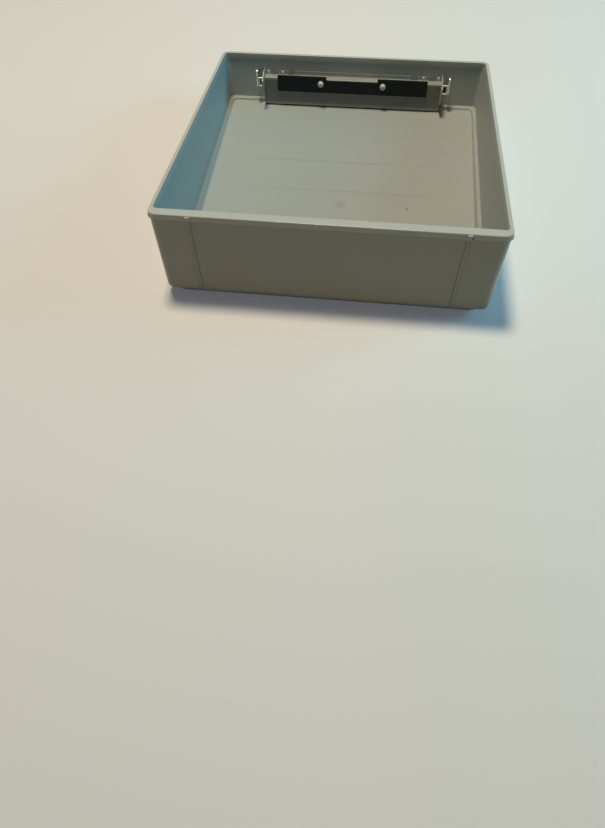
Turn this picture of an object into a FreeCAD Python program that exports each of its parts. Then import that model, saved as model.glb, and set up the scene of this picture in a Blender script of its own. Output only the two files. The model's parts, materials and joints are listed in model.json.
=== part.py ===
import FreeCAD, Part
import math
import os
import re
import Sketcher
from FreeCAD import Placement, Rotation, Vector

# Cover of a portable typewriter case, with its latch mechanism and its carrying handle.
#
# Lengths are in millimetres and X is to the right in every frame:
#   rim frame     z = 0 is the plane of the rim, -z goes into the case, -y is the tall wall
#   latch frame   y = 0 is the inner face of the low wall, +y goes out through it, z = 0 is the rim
#   hook frame    y = 0 is the inner face of the tall wall, +y goes into the case, z = 0 is the rim
#   handle frame  the origin is the middle of the handle's pivot axis, and the handle hangs down -z
#   case frame    the case lies open side up on its raised top panel, and z = 0 is under that panel
# A drop is a distance down from the rim. A place along X is a distance from the middle.

NODE_FOLDER = "parts"

SIZES = [
    # the moulded cover
    ("rim_width", 310.0, "outer width across the lip"),
    ("rim_depth", 336.0, "outer depth across the lip, tall wall to low wall"),
    ("wall", 2.8, "thickness of every wall of the moulding"),
    ("draft_angle", 1.7, "draft of the walls, in degrees"),
    ("corner_radius", 9.0, "outer corner of the lip, seen from above"),
    ("lip_proud", 1.4, "how far the lip stands out from the walls"),
    ("lip_height", 4.5, "height of the lip"),
    ("lip_slant", 12.0, "slant of the lip's outer face, in degrees"),
    ("lip_edge_radius", 0.8, "rounding of the lip's outer top edge"),
    ("tall_band", 10.0, "width of the rim's top face along the tall wall"),
    ("low_band", 5.6, "width of the rim's top face along the low wall"),
    ("band_thickness", 2.4, "thickness of the rim bands"),
    ("mouth_radius", 3.6, "inner corner of the rim"),
    ("ledge_drop_low", 48.2, "drop of the inner ledge at the low wall"),
    ("ledge_drop_tall", 80.8, "drop of the inner ledge at the tall wall"),
    ("ledge_width", 3.5, "width of the inner ledge"),
    ("floor_drop_low", 50.4, "drop of the floor at the low wall"),
    ("floor_drop_tall", 89.2, "drop of the floor at the tall wall"),
    ("bottom_radius", 3.6, "rounding of the outer edge round the top panel"),
    ("recess_slant", 22.0, "slant of the sides of the recess, in degrees"),
    ("field_radius", 7.0, "corner of the recessed floor, seen from above"),
    ("field_edge_radius", 1.2, "cove where the recess meets the floor"),
    ("bead_inset", 36.6, "distance of an upright bead from the rim's end, at the rim"),
    ("bead_width", 2.4, "width of an upright bead"),
    ("bead_proud", 0.9, "how far a bead stands out from the tall wall"),
    ("bead_round", 0.6, "rounding of a bead's edges"),
    ("nib_width", 4.0, "width of the nib where a bead crosses the lip"),
    ("nib_proud", 0.8, "how far a nib stands out from the lip"),
    # the folded latch bracket
    ("steel", 1.2, "thickness of the bracket's steel"),
    ("bracket_length", 208.0, "length of the bracket between its end plates"),
    ("web_drop", 21.2, "drop of the bracket's upper face"),
    ("back_flange", 4.0, "height of the flange against the wall"),
    ("channel_depth", 12.0, "reach of the bracket's face from the wall"),
    ("foot_gap", 1.3, "space between the end plates' feet and the ledge"),
    ("face_gap", 0.15, "gap between the bracket's lower return and the floor"),
    ("return_width", 4.0, "width of the bracket's lower return"),
    ("bend_radius", 0.9, "outer radius of the bracket's bends"),
    ("notch_width", 7.0, "width of a notch in the back flange"),
    ("notch_inset", 10.5, "distance of an outer notch from the bracket's end"),
    ("notch_spacing", 20.5, "distance between a pair of notches"),
    # the end plates
    ("end_rise", 2.0, "how far an end plate stands above the back flange"),
    ("end_reach", 24.0, "reach of an end plate's nose from the wall"),
    ("nose_fall", 0.3, "how much lower than the web the nose starts"),
    ("nose_height", 15.0, "height of the nose"),
    ("end_heel", 9.0, "reach of an end plate along its foot"),
    ("end_corner_radius", 3.5, "rounding of an end plate's corners"),
    ("tab_length", 9.0, "length of the tab that joins an end plate to the bracket"),
    ("tab_gap", 2.9, "space between that tab and the bolt's arm"),
    # the black cover plate and its long screws
    ("plate_length", 176.0, "length of the cover plate"),
    ("plate_thickness", 1.5, "thickness of the cover plate"),
    ("plate_rise", 3.2, "how far the cover plate stands above the web"),
    ("plate_height", 17.6, "height of the cover plate"),
    ("plate_notch_length", 60.0, "length of the notch in its top edge"),
    ("plate_notch_depth", 3.8, "depth of that notch"),
    ("screw_offset", 36.5, "place of a long screw"),
    ("screw_drop", 25.7, "drop of the long screws"),
    ("screw_diameter", 4.0, "shank of a long screw"),
    ("screw_head", 7.0, "diameter of its head"),
    ("screw_head_height", 3.8, "height of its head"),
    ("screw_slot", 1.0, "width and depth of the driver slot"),
    ("sleeve_diameter", 6.4, "outer diameter of a spacer sleeve"),
    ("sleeve_clearance", 0.15, "radial clearance of a long screw in sleeve, plate and bracket"),
    # the latch bolts
    ("bolt_thickness", 2.0, "thickness of a bolt"),
    ("bolt_plane", 7.0, "distance of a bolt's middle plane from the wall"),
    ("arm_gap", 0.8, "space between the web and a bolt's arm"),
    ("arm_height", 10.4, "height of a bolt's arm"),
    ("tip_reach", 8.8, "how far a bolt stands out of its end plate"),
    ("tee_height", 18.2, "height of the bent tab on a bolt's end"),
    ("tee_rise", 8.6, "how far that tab stands above the arm"),
    ("tee_reach", 8.0, "width of that tab, away from the wall"),
    ("window_length", 3.6, "length of the window in a bolt's arm"),
    ("window_height", 7.6, "height of that window"),
    ("window_margin", 1.4, "metal between that window and the bent tab"),
    ("bolt_travel", 6.0, "travel of a bolt"),
    ("bolt_clearance", 0.3, "clearance of an arm in its end plate"),
    ("guide_inset", 6.0, "distance of a guide rivet from the arm's inner end"),
    ("guide_diameter", 4.0, "shoulder of a guide rivet"),
    ("guide_clearance", 0.08, "clearance of a bolt on its guide rivet"),
    ("guide_collar", 7.5, "diameter of a guide rivet's collar and head"),
    ("guide_head_height", 1.2, "height of a guide rivet's head"),
    # the springs
    ("spring_diameter", 6.4, "outer diameter of a spring"),
    ("spring_wire", 0.7, "wire of a spring"),
    ("spring_length", 18.0, "length of a spring with its bolt out"),
    ("spring_turns", 7.0, "turns of a spring"),
    ("spring_gap", 0.1, "gap left at each end of a spring"),
    ("tongue_length", 6.0, "length of the bolt's tongue inside a spring"),
    ("tongue_height", 3.4, "height of that tongue"),
    ("stop_height", 9.0, "height of the lug that a spring leans on"),
    ("stop_gap", 1.1, "space between that lug and a spacer sleeve"),
    # the finger buttons
    ("button_spacing", 14.0, "distance of a button from its bolt's guide rivet"),
    ("button_length", 18.0, "length of a button"),
    ("button_height", 12.0, "height of a button"),
    ("button_radius", 1.2, "rounding of a button's corners"),
    ("button_proud", 3.0, "how far a button stands out of the handle base"),
    ("button_flange", 2.5, "width of the flange round a button"),
    ("button_flange_thickness", 1.3, "thickness of that flange"),
    ("button_gap", 0.5, "gap round a button, its flange and its stem"),
    ("button_float", 0.1, "gap before and behind a button's flange"),
    ("button_stem", 6.0, "diameter of a button's stem"),
    ("rib_count", 5, "number of grip ribs"),
    ("rib_width", 1.2, "width of a grip rib on a button"),
    ("rib_pitch", 2.6, "spacing of the grip ribs"),
    ("rib_height", 0.6, "height of a grip rib"),
    ("rib_margin", 1.5, "distance of the ribs' ends from the button's edges"),
    ("button_screw", 2.6, "shank of a button's screw"),
    ("button_screw_head", 5.0, "diameter of its head"),
    ("button_screw_head_height", 1.5, "height of its head"),
    # the handle
    ("base_margin", 6.0, "plate beyond the outer end of a button's flange"),
    ("base_top_drop", 13.5, "drop of the handle base's top edge"),
    ("base_height", 28.0, "height of the handle base"),
    ("base_thickness", 4.0, "thickness of the handle base"),
    ("base_radius", 5.0, "corner of the handle base"),
    ("boss_diameter", 7.0, "bosses of the base that pass through the wall"),
    ("boss_clearance", 0.1, "radial clearance of those bosses"),
    ("thread_cover", 2.0, "plate left in front of the long screws' ends"),
    ("lug_thickness", 3.0, "thickness of a pivot lug"),
    ("lug_radius", 4.6, "rounding of a pivot lug"),
    ("handle_gap", 3.4, "space between a pivot pin's head and a button's window"),
    ("pivot_inset", 5.5, "distance of the pivots from the base's top edge"),
    ("pivot_reach", 5.2, "distance of the pivots from the base's face"),
    ("pin_diameter", 4.0, "diameter of a pivot pin"),
    ("pin_clearance", 0.06, "radial clearance of a pin in the bail"),
    ("pin_head", 6.6, "diameter of a pivot pin's head"),
    ("pin_head_height", 1.0, "height of a pivot pin's head"),
    ("washer_thickness", 0.5, "thickness of a washer beside a leg"),
    ("washer_gap", 0.05, "gap at a washer"),
    ("leg_thickness", 3.0, "thickness of a bail leg"),
    ("leg_width", 8.0, "width of a bail leg"),
    ("leg_drop", 24.0, "distance from the pivots to the middle of the grip"),
    ("stop_angle", 100.0, "angle from the wall at which the legs' toes stop the handle, in degrees"),
    ("strap_width", 4.0, "width of the bail's cross strap"),
    ("strap_height", 3.0, "height of the bail's cross strap"),
    ("grip_width", 9.0, "width of the grip, away from the wall when it hangs"),
    ("grip_height", 14.0, "height of the grip when it hangs"),
    ("grip_radius", 3.6, "rounding of the grip's long edges"),
    ("grip_gap", 0.2, "gap between the grip and a bail leg"),
    # small rivets
    ("rivet_diameter", 2.6, "shank of a small rivet"),
    ("rivet_head", 3.6, "diameter of a small rivet's head"),
    ("rivet_head_height", 0.8, "height of a small rivet's head"),
    ("rivet_inset", 3.0, "distance of an outer rivet from the bracket's end"),
    # the hook tongues inside the tall wall
    ("hook_inset", 36.6, "distance of a hook tongue's middle from the side wall's outer face"),
    ("hook_width", 24.0, "width of a hook tongue"),
    ("hook_sheet", 1.5, "thickness of a hook tongue"),
    ("hook_top_drop", 10.0, "drop of a hook tongue's upper face"),
    ("hook_reach", 9.0, "reach of a tongue beyond its leg"),
    ("hook_leg", 16.0, "height of a tongue's leg"),
    ("post_diameter", 8.0, "moulded posts that carry a tongue"),
    ("post_height", 4.0, "height of those posts"),
    ("post_spacing", 14.0, "distance between the two posts of a tongue"),
    ("post_floor", 0.5, "moulding left behind a tongue's screws"),
    ("hook_screw", 3.0, "shank of a tongue's screw"),
    ("hook_screw_head", 5.6, "diameter of its head"),
    ("hook_screw_head_height", 1.8, "height of its head"),
]

# Places worked out from the sizes. Each is an expression in the names of the size sheet.
HALF_WIDTH = "(rim_width / 2 - lip_proud)"
HALF_DEPTH = "(rim_depth / 2 - lip_proud)"
LEDGE_DROP = "((ledge_drop_low + ledge_drop_tall) / 2)"
RECESS_INSET = "(wall + ledge_width)"
PANEL_INSET = f"({RECESS_INSET} - wall * (1 - sin(recess_slant)) / cos(recess_slant))"
LIP_TOP_INSET = "(lip_height * tan(lip_slant))"
BRACKET_END = "(bracket_length / 2)"
FLANGE_TOP = "(web_drop - back_flange)"
FOOT_DROP = "(ledge_drop_low - foot_gap)"
FLOOR_FALL = "((floor_drop_tall - floor_drop_low) / (rim_depth - 2 * lip_proud - 2 * wall))"
RETURN_END = "(channel_depth - return_width)"
FACE_BOTTOM = f"(floor_drop_low + ({FLOOR_FALL} + tan(draft_angle)) * {RETURN_END} - face_gap)"
NOTCH_OUTER = f"({BRACKET_END} - notch_inset)"
NOTCH_INNER = f"({NOTCH_OUTER} - notch_spacing)"
RIVET_OUTER = f"({BRACKET_END} - rivet_inset)"
RIVET_INNER = f"({NOTCH_OUTER} - notch_spacing / 2)"
RIVET_DROP = f"({FLANGE_TOP} + back_flange / 2)"
ARM_TOP = "(web_drop + steel + arm_gap)"
ARM_MIDDLE = f"({ARM_TOP} + arm_height / 2)"
ARM_BOTTOM = f"({ARM_TOP} + arm_height)"
BOLT_FRONT = "(bolt_plane + bolt_thickness / 2)"
BOLT_BACK = "(bolt_plane - bolt_thickness / 2)"
LUG_END = "(screw_offset + sleeve_diameter / 2 + stop_gap + steel)"
ARM_END = f"({LUG_END} + spring_length)"
GUIDE_PLACE = f"({ARM_END} + guide_inset)"
BUTTON_PLACE = f"({GUIDE_PLACE} + button_spacing)"
BOLT_TIP = f"({BRACKET_END} + steel + tip_reach)"
TAB_TOP = f"({ARM_BOTTOM} + tab_gap)"
TAB_RIVET_PLACE = f"({BRACKET_END} - tab_length / 2)"
TAB_BOTTOM = f"({FOOT_DROP} - 2 * steel)"
TAB_RIVET_DROP = f"(({TAB_TOP} + {TAB_BOTTOM}) / 2)"
PLATE_FRONT = "(channel_depth + plate_thickness)"
BASE_FACE = "(wall + base_thickness)"
BUTTON_FRONT = f"({BASE_FACE} + button_proud)"
WINDOW_INNER = f"({BUTTON_PLACE} - bolt_travel - button_length / 2 - button_gap)"
BASE_END = f"({BUTTON_PLACE} + button_length / 2 + button_gap + button_flange + base_margin)"
LEG_SPACE = "(leg_thickness / 2 + washer_thickness + 2 * washer_gap)"
PIVOT_PLACE = f"({WINDOW_INNER} - handle_gap - pin_head_height - lug_thickness - {LEG_SPACE})"
PIVOT_Y = f"({BASE_FACE} + pivot_reach)"
PIVOT_DROP = "(base_top_drop + pivot_inset)"
TOE_HEIGHT = "((pivot_reach + leg_width / 2 * cos(stop_angle)) / sin(stop_angle))"
SCREW_HOLE = "(screw_diameter + 2 * sleeve_clearance)"
BEAD_PLACE = "(rim_width / 2 - bead_inset)"
HOOK_PLACE = f"({HALF_WIDTH} - hook_inset)"
HOOK_SEAT = "(post_height + hook_sheet)"
HOOK_MIDDLE = "(hook_top_drop + hook_leg / 2)"

BEYOND = 1.0  # how far a cutting tool runs past the face that it opens
SIDES = (("left", -1), ("right", 1))

document = FreeCAD.newDocument("typewriter_case_cover")
sheet = document.addObject("Spreadsheet::Sheet", "sizes")
for row, (alias, value, meaning) in enumerate(SIZES, start=1):
    sheet.set(f"A{row}", meaning)
    sheet.set(f"B{row}", str(value))
    sheet.setAlias(f"B{row}", alias)
document.recompute()

NAMES = {alias for alias, value, meaning in SIZES}


# --- expressions ---------------------------------------------------------------------------------


def bound(expression):
    """Return the expression with each size's name pointed at the sheet."""
    return re.sub(r"[a-z_]+", lambda m: f"sizes.{m[0]}" if m[0] in NAMES else m[0], expression)


def measure(expression):
    """Return the present value of an expression."""
    return float(sheet.evalExpression(bound(expression)))


def bind(item, **properties):
    """Bind properties of an object to expressions; x, y and z set its place."""
    for name, expression in properties.items():
        path = f"Placement.Base.{name}" if name in ("x", "y", "z") else name
        item.setExpression(path, bound(expression))


def mirrored(side, low, high):
    """Return a span along X for the right side (+1), or its mirror image for the left (-1)."""
    return (low, high) if side > 0 else (f"-({high})", f"-({low})")


def span(middle, width):
    """Return both ends of a width about its middle."""
    return (f"({middle}) - ({width}) / 2", f"({middle}) + ({width}) / 2")


def dropped(top, bottom):
    """Return a span along z from the drops of its top and bottom."""
    return (f"-({bottom})", f"-({top})")


# --- Part primitives and booleans ----------------------------------------------------------------


def box(name, x, y, z):
    """Return a Part::Box from three spans."""
    item = document.addObject("Part::Box", name)
    lengths = [f"({high}) - ({low})" for low, high in (x, y, z)]
    bind(item, Length=lengths[0], Width=lengths[1], Height=lengths[2], x=x[0], y=y[0], z=z[0])
    return item


def rod(name, axis, start, length, diameter):
    """Return a Part::Cylinder that runs along +x or +y from a point."""
    item = document.addObject("Part::Cylinder", name)
    turn = Rotation(Vector(0, 1, 0), 90) if axis == "x" else Rotation(Vector(1, 0, 0), -90)
    item.Placement = Placement(Vector(), turn)
    bind(item, Radius=f"({diameter}) / 2", Height=length, x=start[0], y=start[1], z=start[2])
    return item


def pin(name, place, drop, y, diameter):
    """Return a cylinder through the span y, at a place along X and a drop."""
    return rod(name, "y", (place, y[0], f"-({drop})"), f"({y[1]}) - ({y[0]})", diameter)


def pin_pair(name, place, drop, y, diameter):
    """Return one such cylinder on each side of the middle."""
    return [pin(f"{name}_{word}", f"{side} * {place}", drop, y, diameter) for word, side in SIDES]


def join(name, pieces):
    """Fuse pieces into one solid."""
    item = document.addObject("Part::MultiFuse", name)
    item.Shapes = pieces
    item.Refine = True
    return item


def cut(name, base, tools):
    """Cut tools out of a base."""
    item = document.addObject("Part::Cut", name)
    item.Base = base
    item.Tool = tools[0] if len(tools) == 1 else join(f"{name}_tools", tools)
    item.Refine = True
    return item


def group(name, pieces, place=None):
    """Hold solids together, side by side, with a placement of their own."""
    item = document.addObject("Part::Compound", name)
    item.Links = pieces
    item.Placement = place or Placement()
    return item


def rounded(name, base, radius, test):
    """Round the edges of a base that pass a test."""
    document.recompute()
    size = measure(radius)
    item = document.addObject("Part::Fillet", name)
    item.Base = base
    item.Edges = [(n, size, size) for n, edge in enumerate(base.Shape.Edges, start=1) if test(edge)]
    return item


# --- PartDesign bodies ---------------------------------------------------------------------------


def make_body(name):
    """Return a new body."""
    return document.addObject("PartDesign::Body", name)


def plane_of(body, role):
    """Return an origin plane of a body."""
    return next(item for item in body.Origin.OriginFeatures if item.Role == role)


def blank_sketch(body, name, role, level="0"):
    """Return an empty sketch on an origin plane of a body, moved along the plane's normal."""
    sketch = body.newObject("Sketcher::SketchObject", name)
    sketch.AttachmentSupport = (plane_of(body, role), [""])
    sketch.MapMode = "FlatFace"
    sketch.setExpression("AttachmentOffset.Base.z", bound(level))
    return sketch


def tie(sketch, geometry, vertex, key, across, up):
    """Hold a vertex of a sketch at two expressions."""
    for kind, word, expression in (("DistanceX", "across", across), ("DistanceY", "up", up)):
        rule = Sketcher.Constraint(kind, -1, 1, geometry, vertex, measure(expression))
        index = sketch.addConstraint(rule)
        sketch.renameConstraint(index, f"{word}{key}")
        sketch.setExpression(f"Constraints.{word}{key}", bound(expression))


def outline(body, name, role, points, level="0"):
    """Return a closed sketch of straight lines through points, each a pair of expressions."""
    sketch = blank_sketch(body, name, role, level)
    places = [Vector(measure(across), measure(up), 0) for across, up in points]
    count = len(places)
    for n in range(count):
        sketch.addGeometry(Part.LineSegment(places[n], places[(n + 1) % count]), False)
    for n in range(count):
        sketch.addConstraint(Sketcher.Constraint("Coincident", n, 2, (n + 1) % count, 1))
    for n, (across, up) in enumerate(points):
        tie(sketch, n, 1, n, across, up)
    return sketch


def rectangle(body, name, role, half_across, half_up, level="0"):
    """Return a sketched rectangle centred on the body's origin."""
    corners = [(-1, -1), (1, -1), (1, 1), (-1, 1)]
    points = [(f"({half_across}) * {a}", f"({half_up}) * {b}") for a, b in corners]
    return outline(body, name, role, points, level)


def pad(body, name, sketch, length, reverse=False, both_ways=False, taper="0"):
    """Raise a sketch into a solid."""
    item = body.newObject("PartDesign::Pad", name)
    item.Profile = sketch
    item.SideType = "Symmetric" if both_ways else "One side"
    item.Reversed = reverse
    bind(item, Length=length, TaperAngle=taper)
    document.recompute()
    return item


def pocket_through(body, name, sketch):
    """Cut a sketch on the body's middle plane right through it, and prove that it cut."""
    before = body.Tip.Shape.Volume
    item = body.newObject("PartDesign::Pocket", name)
    item.Profile = sketch
    item.SideType = "Symmetric"
    bind(item, Length="4 * rim_width")
    document.recompute()
    if item.Shape.Volume >= before:
        raise RuntimeError(f"{name} cuts nothing")
    return item


def fillet(body, name, radius, test):
    """Round the edges of a body that pass a test."""
    base = body.Tip
    chosen = [f"Edge{n}" for n, edge in enumerate(base.Shape.Edges, start=1) if test(edge)]
    item = body.newObject("PartDesign::Fillet", name)
    item.Base = (base, chosen)
    bind(item, Radius=radius)
    document.recompute()
    return item


def runs_along(edge, axis, least):
    """Tell whether an edge runs along an axis and is longer than least."""
    bounds = edge.BoundBox
    lengths = {"x": bounds.XLength, "y": bounds.YLength, "z": bounds.ZLength}
    main = lengths.pop(axis)
    return main > least and all(length < 0.2 * main for length in lengths.values())


# --- where each frame lies -----------------------------------------------------------------------


def case_place():
    """Rim frame to case frame: turn the case until its raised top panel lies flat at z = 0."""
    fall = measure("(floor_drop_tall - floor_drop_low) / rim_depth")
    turn = Rotation(Vector(1, 0, 0), -math.degrees(math.atan(fall)))
    panel_middle = Vector(0, 0, -measure("(floor_drop_low + floor_drop_tall) / 2 + wall"))
    return Placement(-turn.multVec(panel_middle), turn)


def ledge_place(below):
    """Frame of the ledge's plane, or of one that lies below it, to rim frame."""
    rise = measure("(ledge_drop_tall - ledge_drop_low) / rim_depth")
    tilt = Rotation(Vector(1, 0, 0), math.degrees(math.atan(rise)))
    return Placement(Vector(0, 0, -measure(f"{LEDGE_DROP} + {below}")), tilt)


def wall_place(side, face):
    """Frame of the low wall (+1) or tall wall (-1) to rim frame, with y = 0 on the given face."""
    lean = Rotation(Vector(1, 0, 0), -side * measure("draft_angle"))
    return Placement(Vector(0, side * measure(face), 0), lean)


def latch_place():
    """Latch frame to rim frame."""
    return wall_place(1, f"{HALF_DEPTH} - wall")


def hook_place():
    """Hook frame to rim frame."""
    return wall_place(-1, f"{HALF_DEPTH} - wall")


def spring_place(side):
    """Frame of a spring, which lies along its own z axis, to latch frame."""
    start = Vector(side * measure(LUG_END), -measure("bolt_plane"), -measure(ARM_MIDDLE))
    return Placement(start, Rotation(Vector(0, 1, 0), 90 * side))


def handle_place():
    """Handle frame to case frame: the handle hangs straight down from its pivots."""
    pivot = Vector(0, measure(PIVOT_Y), -measure(PIVOT_DROP))
    return Placement(case_place().multiply(latch_place()).multVec(pivot), Rotation())


# --- the moulded cover ---------------------------------------------------------------------------


def slope_points(drop_low, drop_tall):
    """Return the outline (y, z) of all that lies below a floor, given its drop at either wall."""
    fall = f"(({drop_tall}) - ({drop_low}))"
    tall_end = f"-(({drop_tall}) + {fall} / 2)"
    low_end = f"-(({drop_low}) - {fall} / 2)"
    deep = f"-2 * ({drop_tall}) - wall"
    return [("-rim_depth", tall_end), ("rim_depth", low_end), ("rim_depth", deep), ("-rim_depth", deep)]


def lies_on_slope(drop_low, drop_tall):
    """Return a test for the edges that lie on a floor."""
    low = measure(drop_low)
    tall = measure(drop_tall)
    depth = measure("rim_depth")

    def test(edge):
        ends = [edge.valueAt(p) for p in (edge.FirstParameter, edge.LastParameter)]
        return all(abs(p.z + (low + tall) / 2 - (tall - low) * p.y / depth) < 1e-3 for p in ends)

    return test


def wedge(name, inset, start, drop_low, drop_tall, corner, edge):
    """Return a drafted block with rounded corners, whose underside slopes from wall to wall.

    inset is the distance in from the outer wall face, measured at the rim; start is the drop of
    the block's top; corner and edge are the radii of its upright corners and of its floor's edge."""
    body = make_body(name)
    narrowing = f"(({start}) * tan(draft_angle))"
    half_width = f"{HALF_WIDTH} - ({inset}) - {narrowing}"
    half_depth = f"{HALF_DEPTH} - ({inset}) - {narrowing}"
    around = rectangle(body, f"{name}_outline", "XY_Plane", half_width, half_depth, f"-({start})")
    depth = f"({drop_tall}) * 1.2 - ({start})"
    pad(body, f"{name}_block", around, depth, reverse=True, taper="-draft_angle")
    fillet(body, f"{name}_corners", corner, lambda e: runs_along(e, "z", 10))
    below = outline(body, f"{name}_below", "YZ_Plane", slope_points(drop_low, drop_tall))
    pocket_through(body, f"{name}_slope", below)
    fillet(body, f"{name}_edge", edge, lies_on_slope(drop_low, drop_tall))
    return body


def dish(name, inset, below, corner, edge):
    """Return a block from a ledge down to a floor, whose sides slant in on the way.

    inset is the distance in from the outer wall face, measured at the ledge; below is how far
    that ledge and floor lie under the inner ones; corner and edge are as for a wedge."""
    body = make_body(name)
    start = "(1.5 * wall)"
    narrowing = f"({LEDGE_DROP} * tan(draft_angle) - {start} * tan(recess_slant))"
    half_width = f"{HALF_WIDTH} - {inset} - {narrowing}"
    half_depth = f"{HALF_DEPTH} - {inset} - {narrowing}"
    around = rectangle(body, f"{name}_outline", "XY_Plane", half_width, half_depth, start)
    depth = f"{start} + floor_drop_tall - ledge_drop_low"
    pad(body, f"{name}_block", around, depth, reverse=True, taper="-recess_slant")
    fillet(body, f"{name}_corners", corner, lambda e: e.BoundBox.ZLength > 1)
    tilted = group(f"{name}_tilted", [body], ledge_place(below))
    drops = (f"floor_drop_low + {below}", f"floor_drop_tall + {below}")
    under = make_body(f"{name}_under")
    pad(
        under, f"{name}_under_pad", outline(under, f"{name}_below", "YZ_Plane", slope_points(*drops)),
        "2 * rim_width", both_ways=True,
    )
    trimmed = cut(f"{name}_trimmed", tilted, [under])
    return rounded(f"{name}_edge", trimmed, edge, lies_on_slope(*drops))


def make_lip():
    """Return the proud lip, as a solid slab whose sides slant out on the way down."""
    body = make_body("lip")
    half_width = f"rim_width / 2 - {LIP_TOP_INSET}"
    half_depth = f"rim_depth / 2 - {LIP_TOP_INSET}"
    around = rectangle(body, "lip_outline", "XY_Plane", half_width, half_depth)
    pad(body, "lip_pad", around, "lip_height", reverse=True, taper="lip_slant")
    fillet(body, "lip_corners", "corner_radius", lambda e: e.BoundBox.ZLength > 1)
    fillet(body, "lip_top_edge", "lip_edge_radius", lambda e: abs(e.CenterOfMass.z) < 1e-6)
    return body


def make_mouth():
    """Return the opening inside the rim's bands."""
    body = make_body("mouth")
    side = f"({HALF_WIDTH} - wall - band_thickness * tan(draft_angle))"
    tall = "-(rim_depth / 2 - tall_band)"
    low = "rim_depth / 2 - low_band"
    corners = [(f"-{side}", tall), (side, tall), (side, low), (f"-{side}", low)]
    opening = outline(body, "mouth_outline", "XY_Plane", corners, "-1.5 * band_thickness")
    pad(body, "mouth_pad", opening, "2 * band_thickness")
    fillet(body, "mouth_corners", "mouth_radius", lambda e: runs_along(e, "z", 1))
    return body


def make_bead(word, side):
    """Return an upright bead on the outside of the tall wall, with the nib where it crosses the lip.

    It leans back as the wall does, and inwards as the wall's sides do."""
    nib_front = "-(lip_proud + nib_proud)"
    bead_z = dropped("lip_height / 2", "ledge_drop_tall + wall - bottom_radius")
    nib_z = dropped("lip_edge_radius", "lip_height + bead_proud")
    bead = box(f"bead_bar_{word}", span("0", "bead_width"), span("0", "2 * bead_proud"), bead_z)
    nib = box(f"nib_block_{word}", span("0", "nib_width"), (nib_front, "0"), nib_z)
    bead_edges = rounded(f"bead_edges_{word}", bead, "bead_round", lambda e: runs_along(e, "z", 10))
    front = measure(nib_front)
    nib_edges = rounded(
        f"nib_edges_{word}", nib, "bead_round",
        lambda e: abs(e.CenterOfMass.y - front) < 1e-4,
    )
    lean = Rotation(Vector(0, 1, 0), side * measure("draft_angle"))
    stand = Placement(Vector(side * measure(BEAD_PLACE), 0, 0), lean)
    bead_and_nib = join(f"bead_and_nib_{word}", [bead_edges, nib_edges])
    return group(f"bead_{word}", [bead_and_nib], wall_place(-1, HALF_DEPTH).multiply(stand))


def post_place(side, n):
    """Return the place along X of a tongue's inner (-1) or outer (+1) post."""
    return f"{side} * ({HOOK_PLACE} + {n} * post_spacing / 2)"


def post_pins(name, y, diameter):
    """Return a cylinder at each of the four posts, in the hook frame."""
    return [
        pin(f"{name}_{word}_{n}", post_place(side, n), HOOK_MIDDLE, y, diameter)
        for word, side in SIDES for n in (-1, 1)
    ]


def make_wall_holes():
    """Return the tools for the low wall's holes: bosses, rivets and the buttons' stems."""
    through = (f"-{BEYOND}", f"wall + {BEYOND}")
    boss_hole = "boss_diameter + 2 * boss_clearance"
    holes = pin_pair("boss_hole", "screw_offset", "screw_drop", through, boss_hole)
    for name, place in (("inner", RIVET_INNER), ("outer", RIVET_OUTER)):
        holes += pin_pair(f"{name}_rivet_hole", place, RIVET_DROP, through, "rivet_diameter")
    reach = "(button_stem / 2 + button_gap)"
    for word, side in SIDES:
        x = mirrored(side, f"{BUTTON_PLACE} - bolt_travel - {reach}", f"{BUTTON_PLACE} + {reach}")
        holes.append(box(f"stem_slot_{word}", x, through, span(f"-{ARM_MIDDLE}", f"2 * {reach}")))
    return group("wall_holes", holes, latch_place())


def make_cover():
    """Return the moulded cover: a uniform wall, a raised top panel, a lip, beads, posts and holes."""
    walls = wedge(
        "outer_walls", "0", "0", "ledge_drop_low + wall", "ledge_drop_tall + wall",
        "corner_radius - lip_proud", "bottom_radius",
    )
    panel = dish(
        "outer_panel", PANEL_INSET, "wall", "field_radius + wall", "field_edge_radius + wall / 3",
    )
    hollow = wedge(
        "hollow", "wall", "band_thickness", "ledge_drop_low", "ledge_drop_tall",
        "corner_radius - lip_proud - wall", "bottom_radius - wall",
    )
    recess = dish("recess", RECESS_INSET, "0", "field_radius", "field_edge_radius")
    beads = [make_bead(word, side) for word, side in SIDES]
    solid = join("cover_solid", [walls, panel, make_lip()] + beads)
    open_cover = cut("cover_open", solid, [hollow, recess, make_mouth()])
    posts = group("posts", post_pins("post", ("-wall / 2", "post_height"), "post_diameter"), hook_place())
    bores = post_pins("post_bore", ("post_floor", f"post_height + {BEYOND}"), "hook_screw")
    with_posts = join("cover_posted", [open_cover, posts])
    return cut("cover_shell", with_posts, [make_wall_holes(), group("post_bores", bores, hook_place())])


# --- the latch bracket and what is fixed to it ---------------------------------------------------


def make_bracket_fold():
    """Return the folded channel: back flange, web, face and lower return."""
    body = make_body("bracket_fold")
    inside = "-(channel_depth - steel)"
    foot = f"-{FACE_BOTTOM}"
    return_end = f"-{RETURN_END}"
    points = [
        ("0", f"-{FLANGE_TOP}"), ("0", "-(web_drop + steel)"), (inside, "-(web_drop + steel)"),
        (inside, f"{foot} + steel"), (return_end, f"{foot} + steel"), (return_end, foot),
        ("-channel_depth", foot), ("-channel_depth", "-web_drop"), ("-steel", "-web_drop"),
        ("-steel", f"-{FLANGE_TOP}"),
    ]
    section = outline(body, "bracket_section", "YZ_Plane", points)
    pad(body, "bracket_pad", section, "bracket_length", both_ways=True)
    face = measure("-channel_depth")
    fillet(
        body, "bracket_bends", "bend_radius",
        lambda e: runs_along(e, "x", 20) and abs(e.CenterOfMass.y - face) < 1e-6,
    )
    return body


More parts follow.
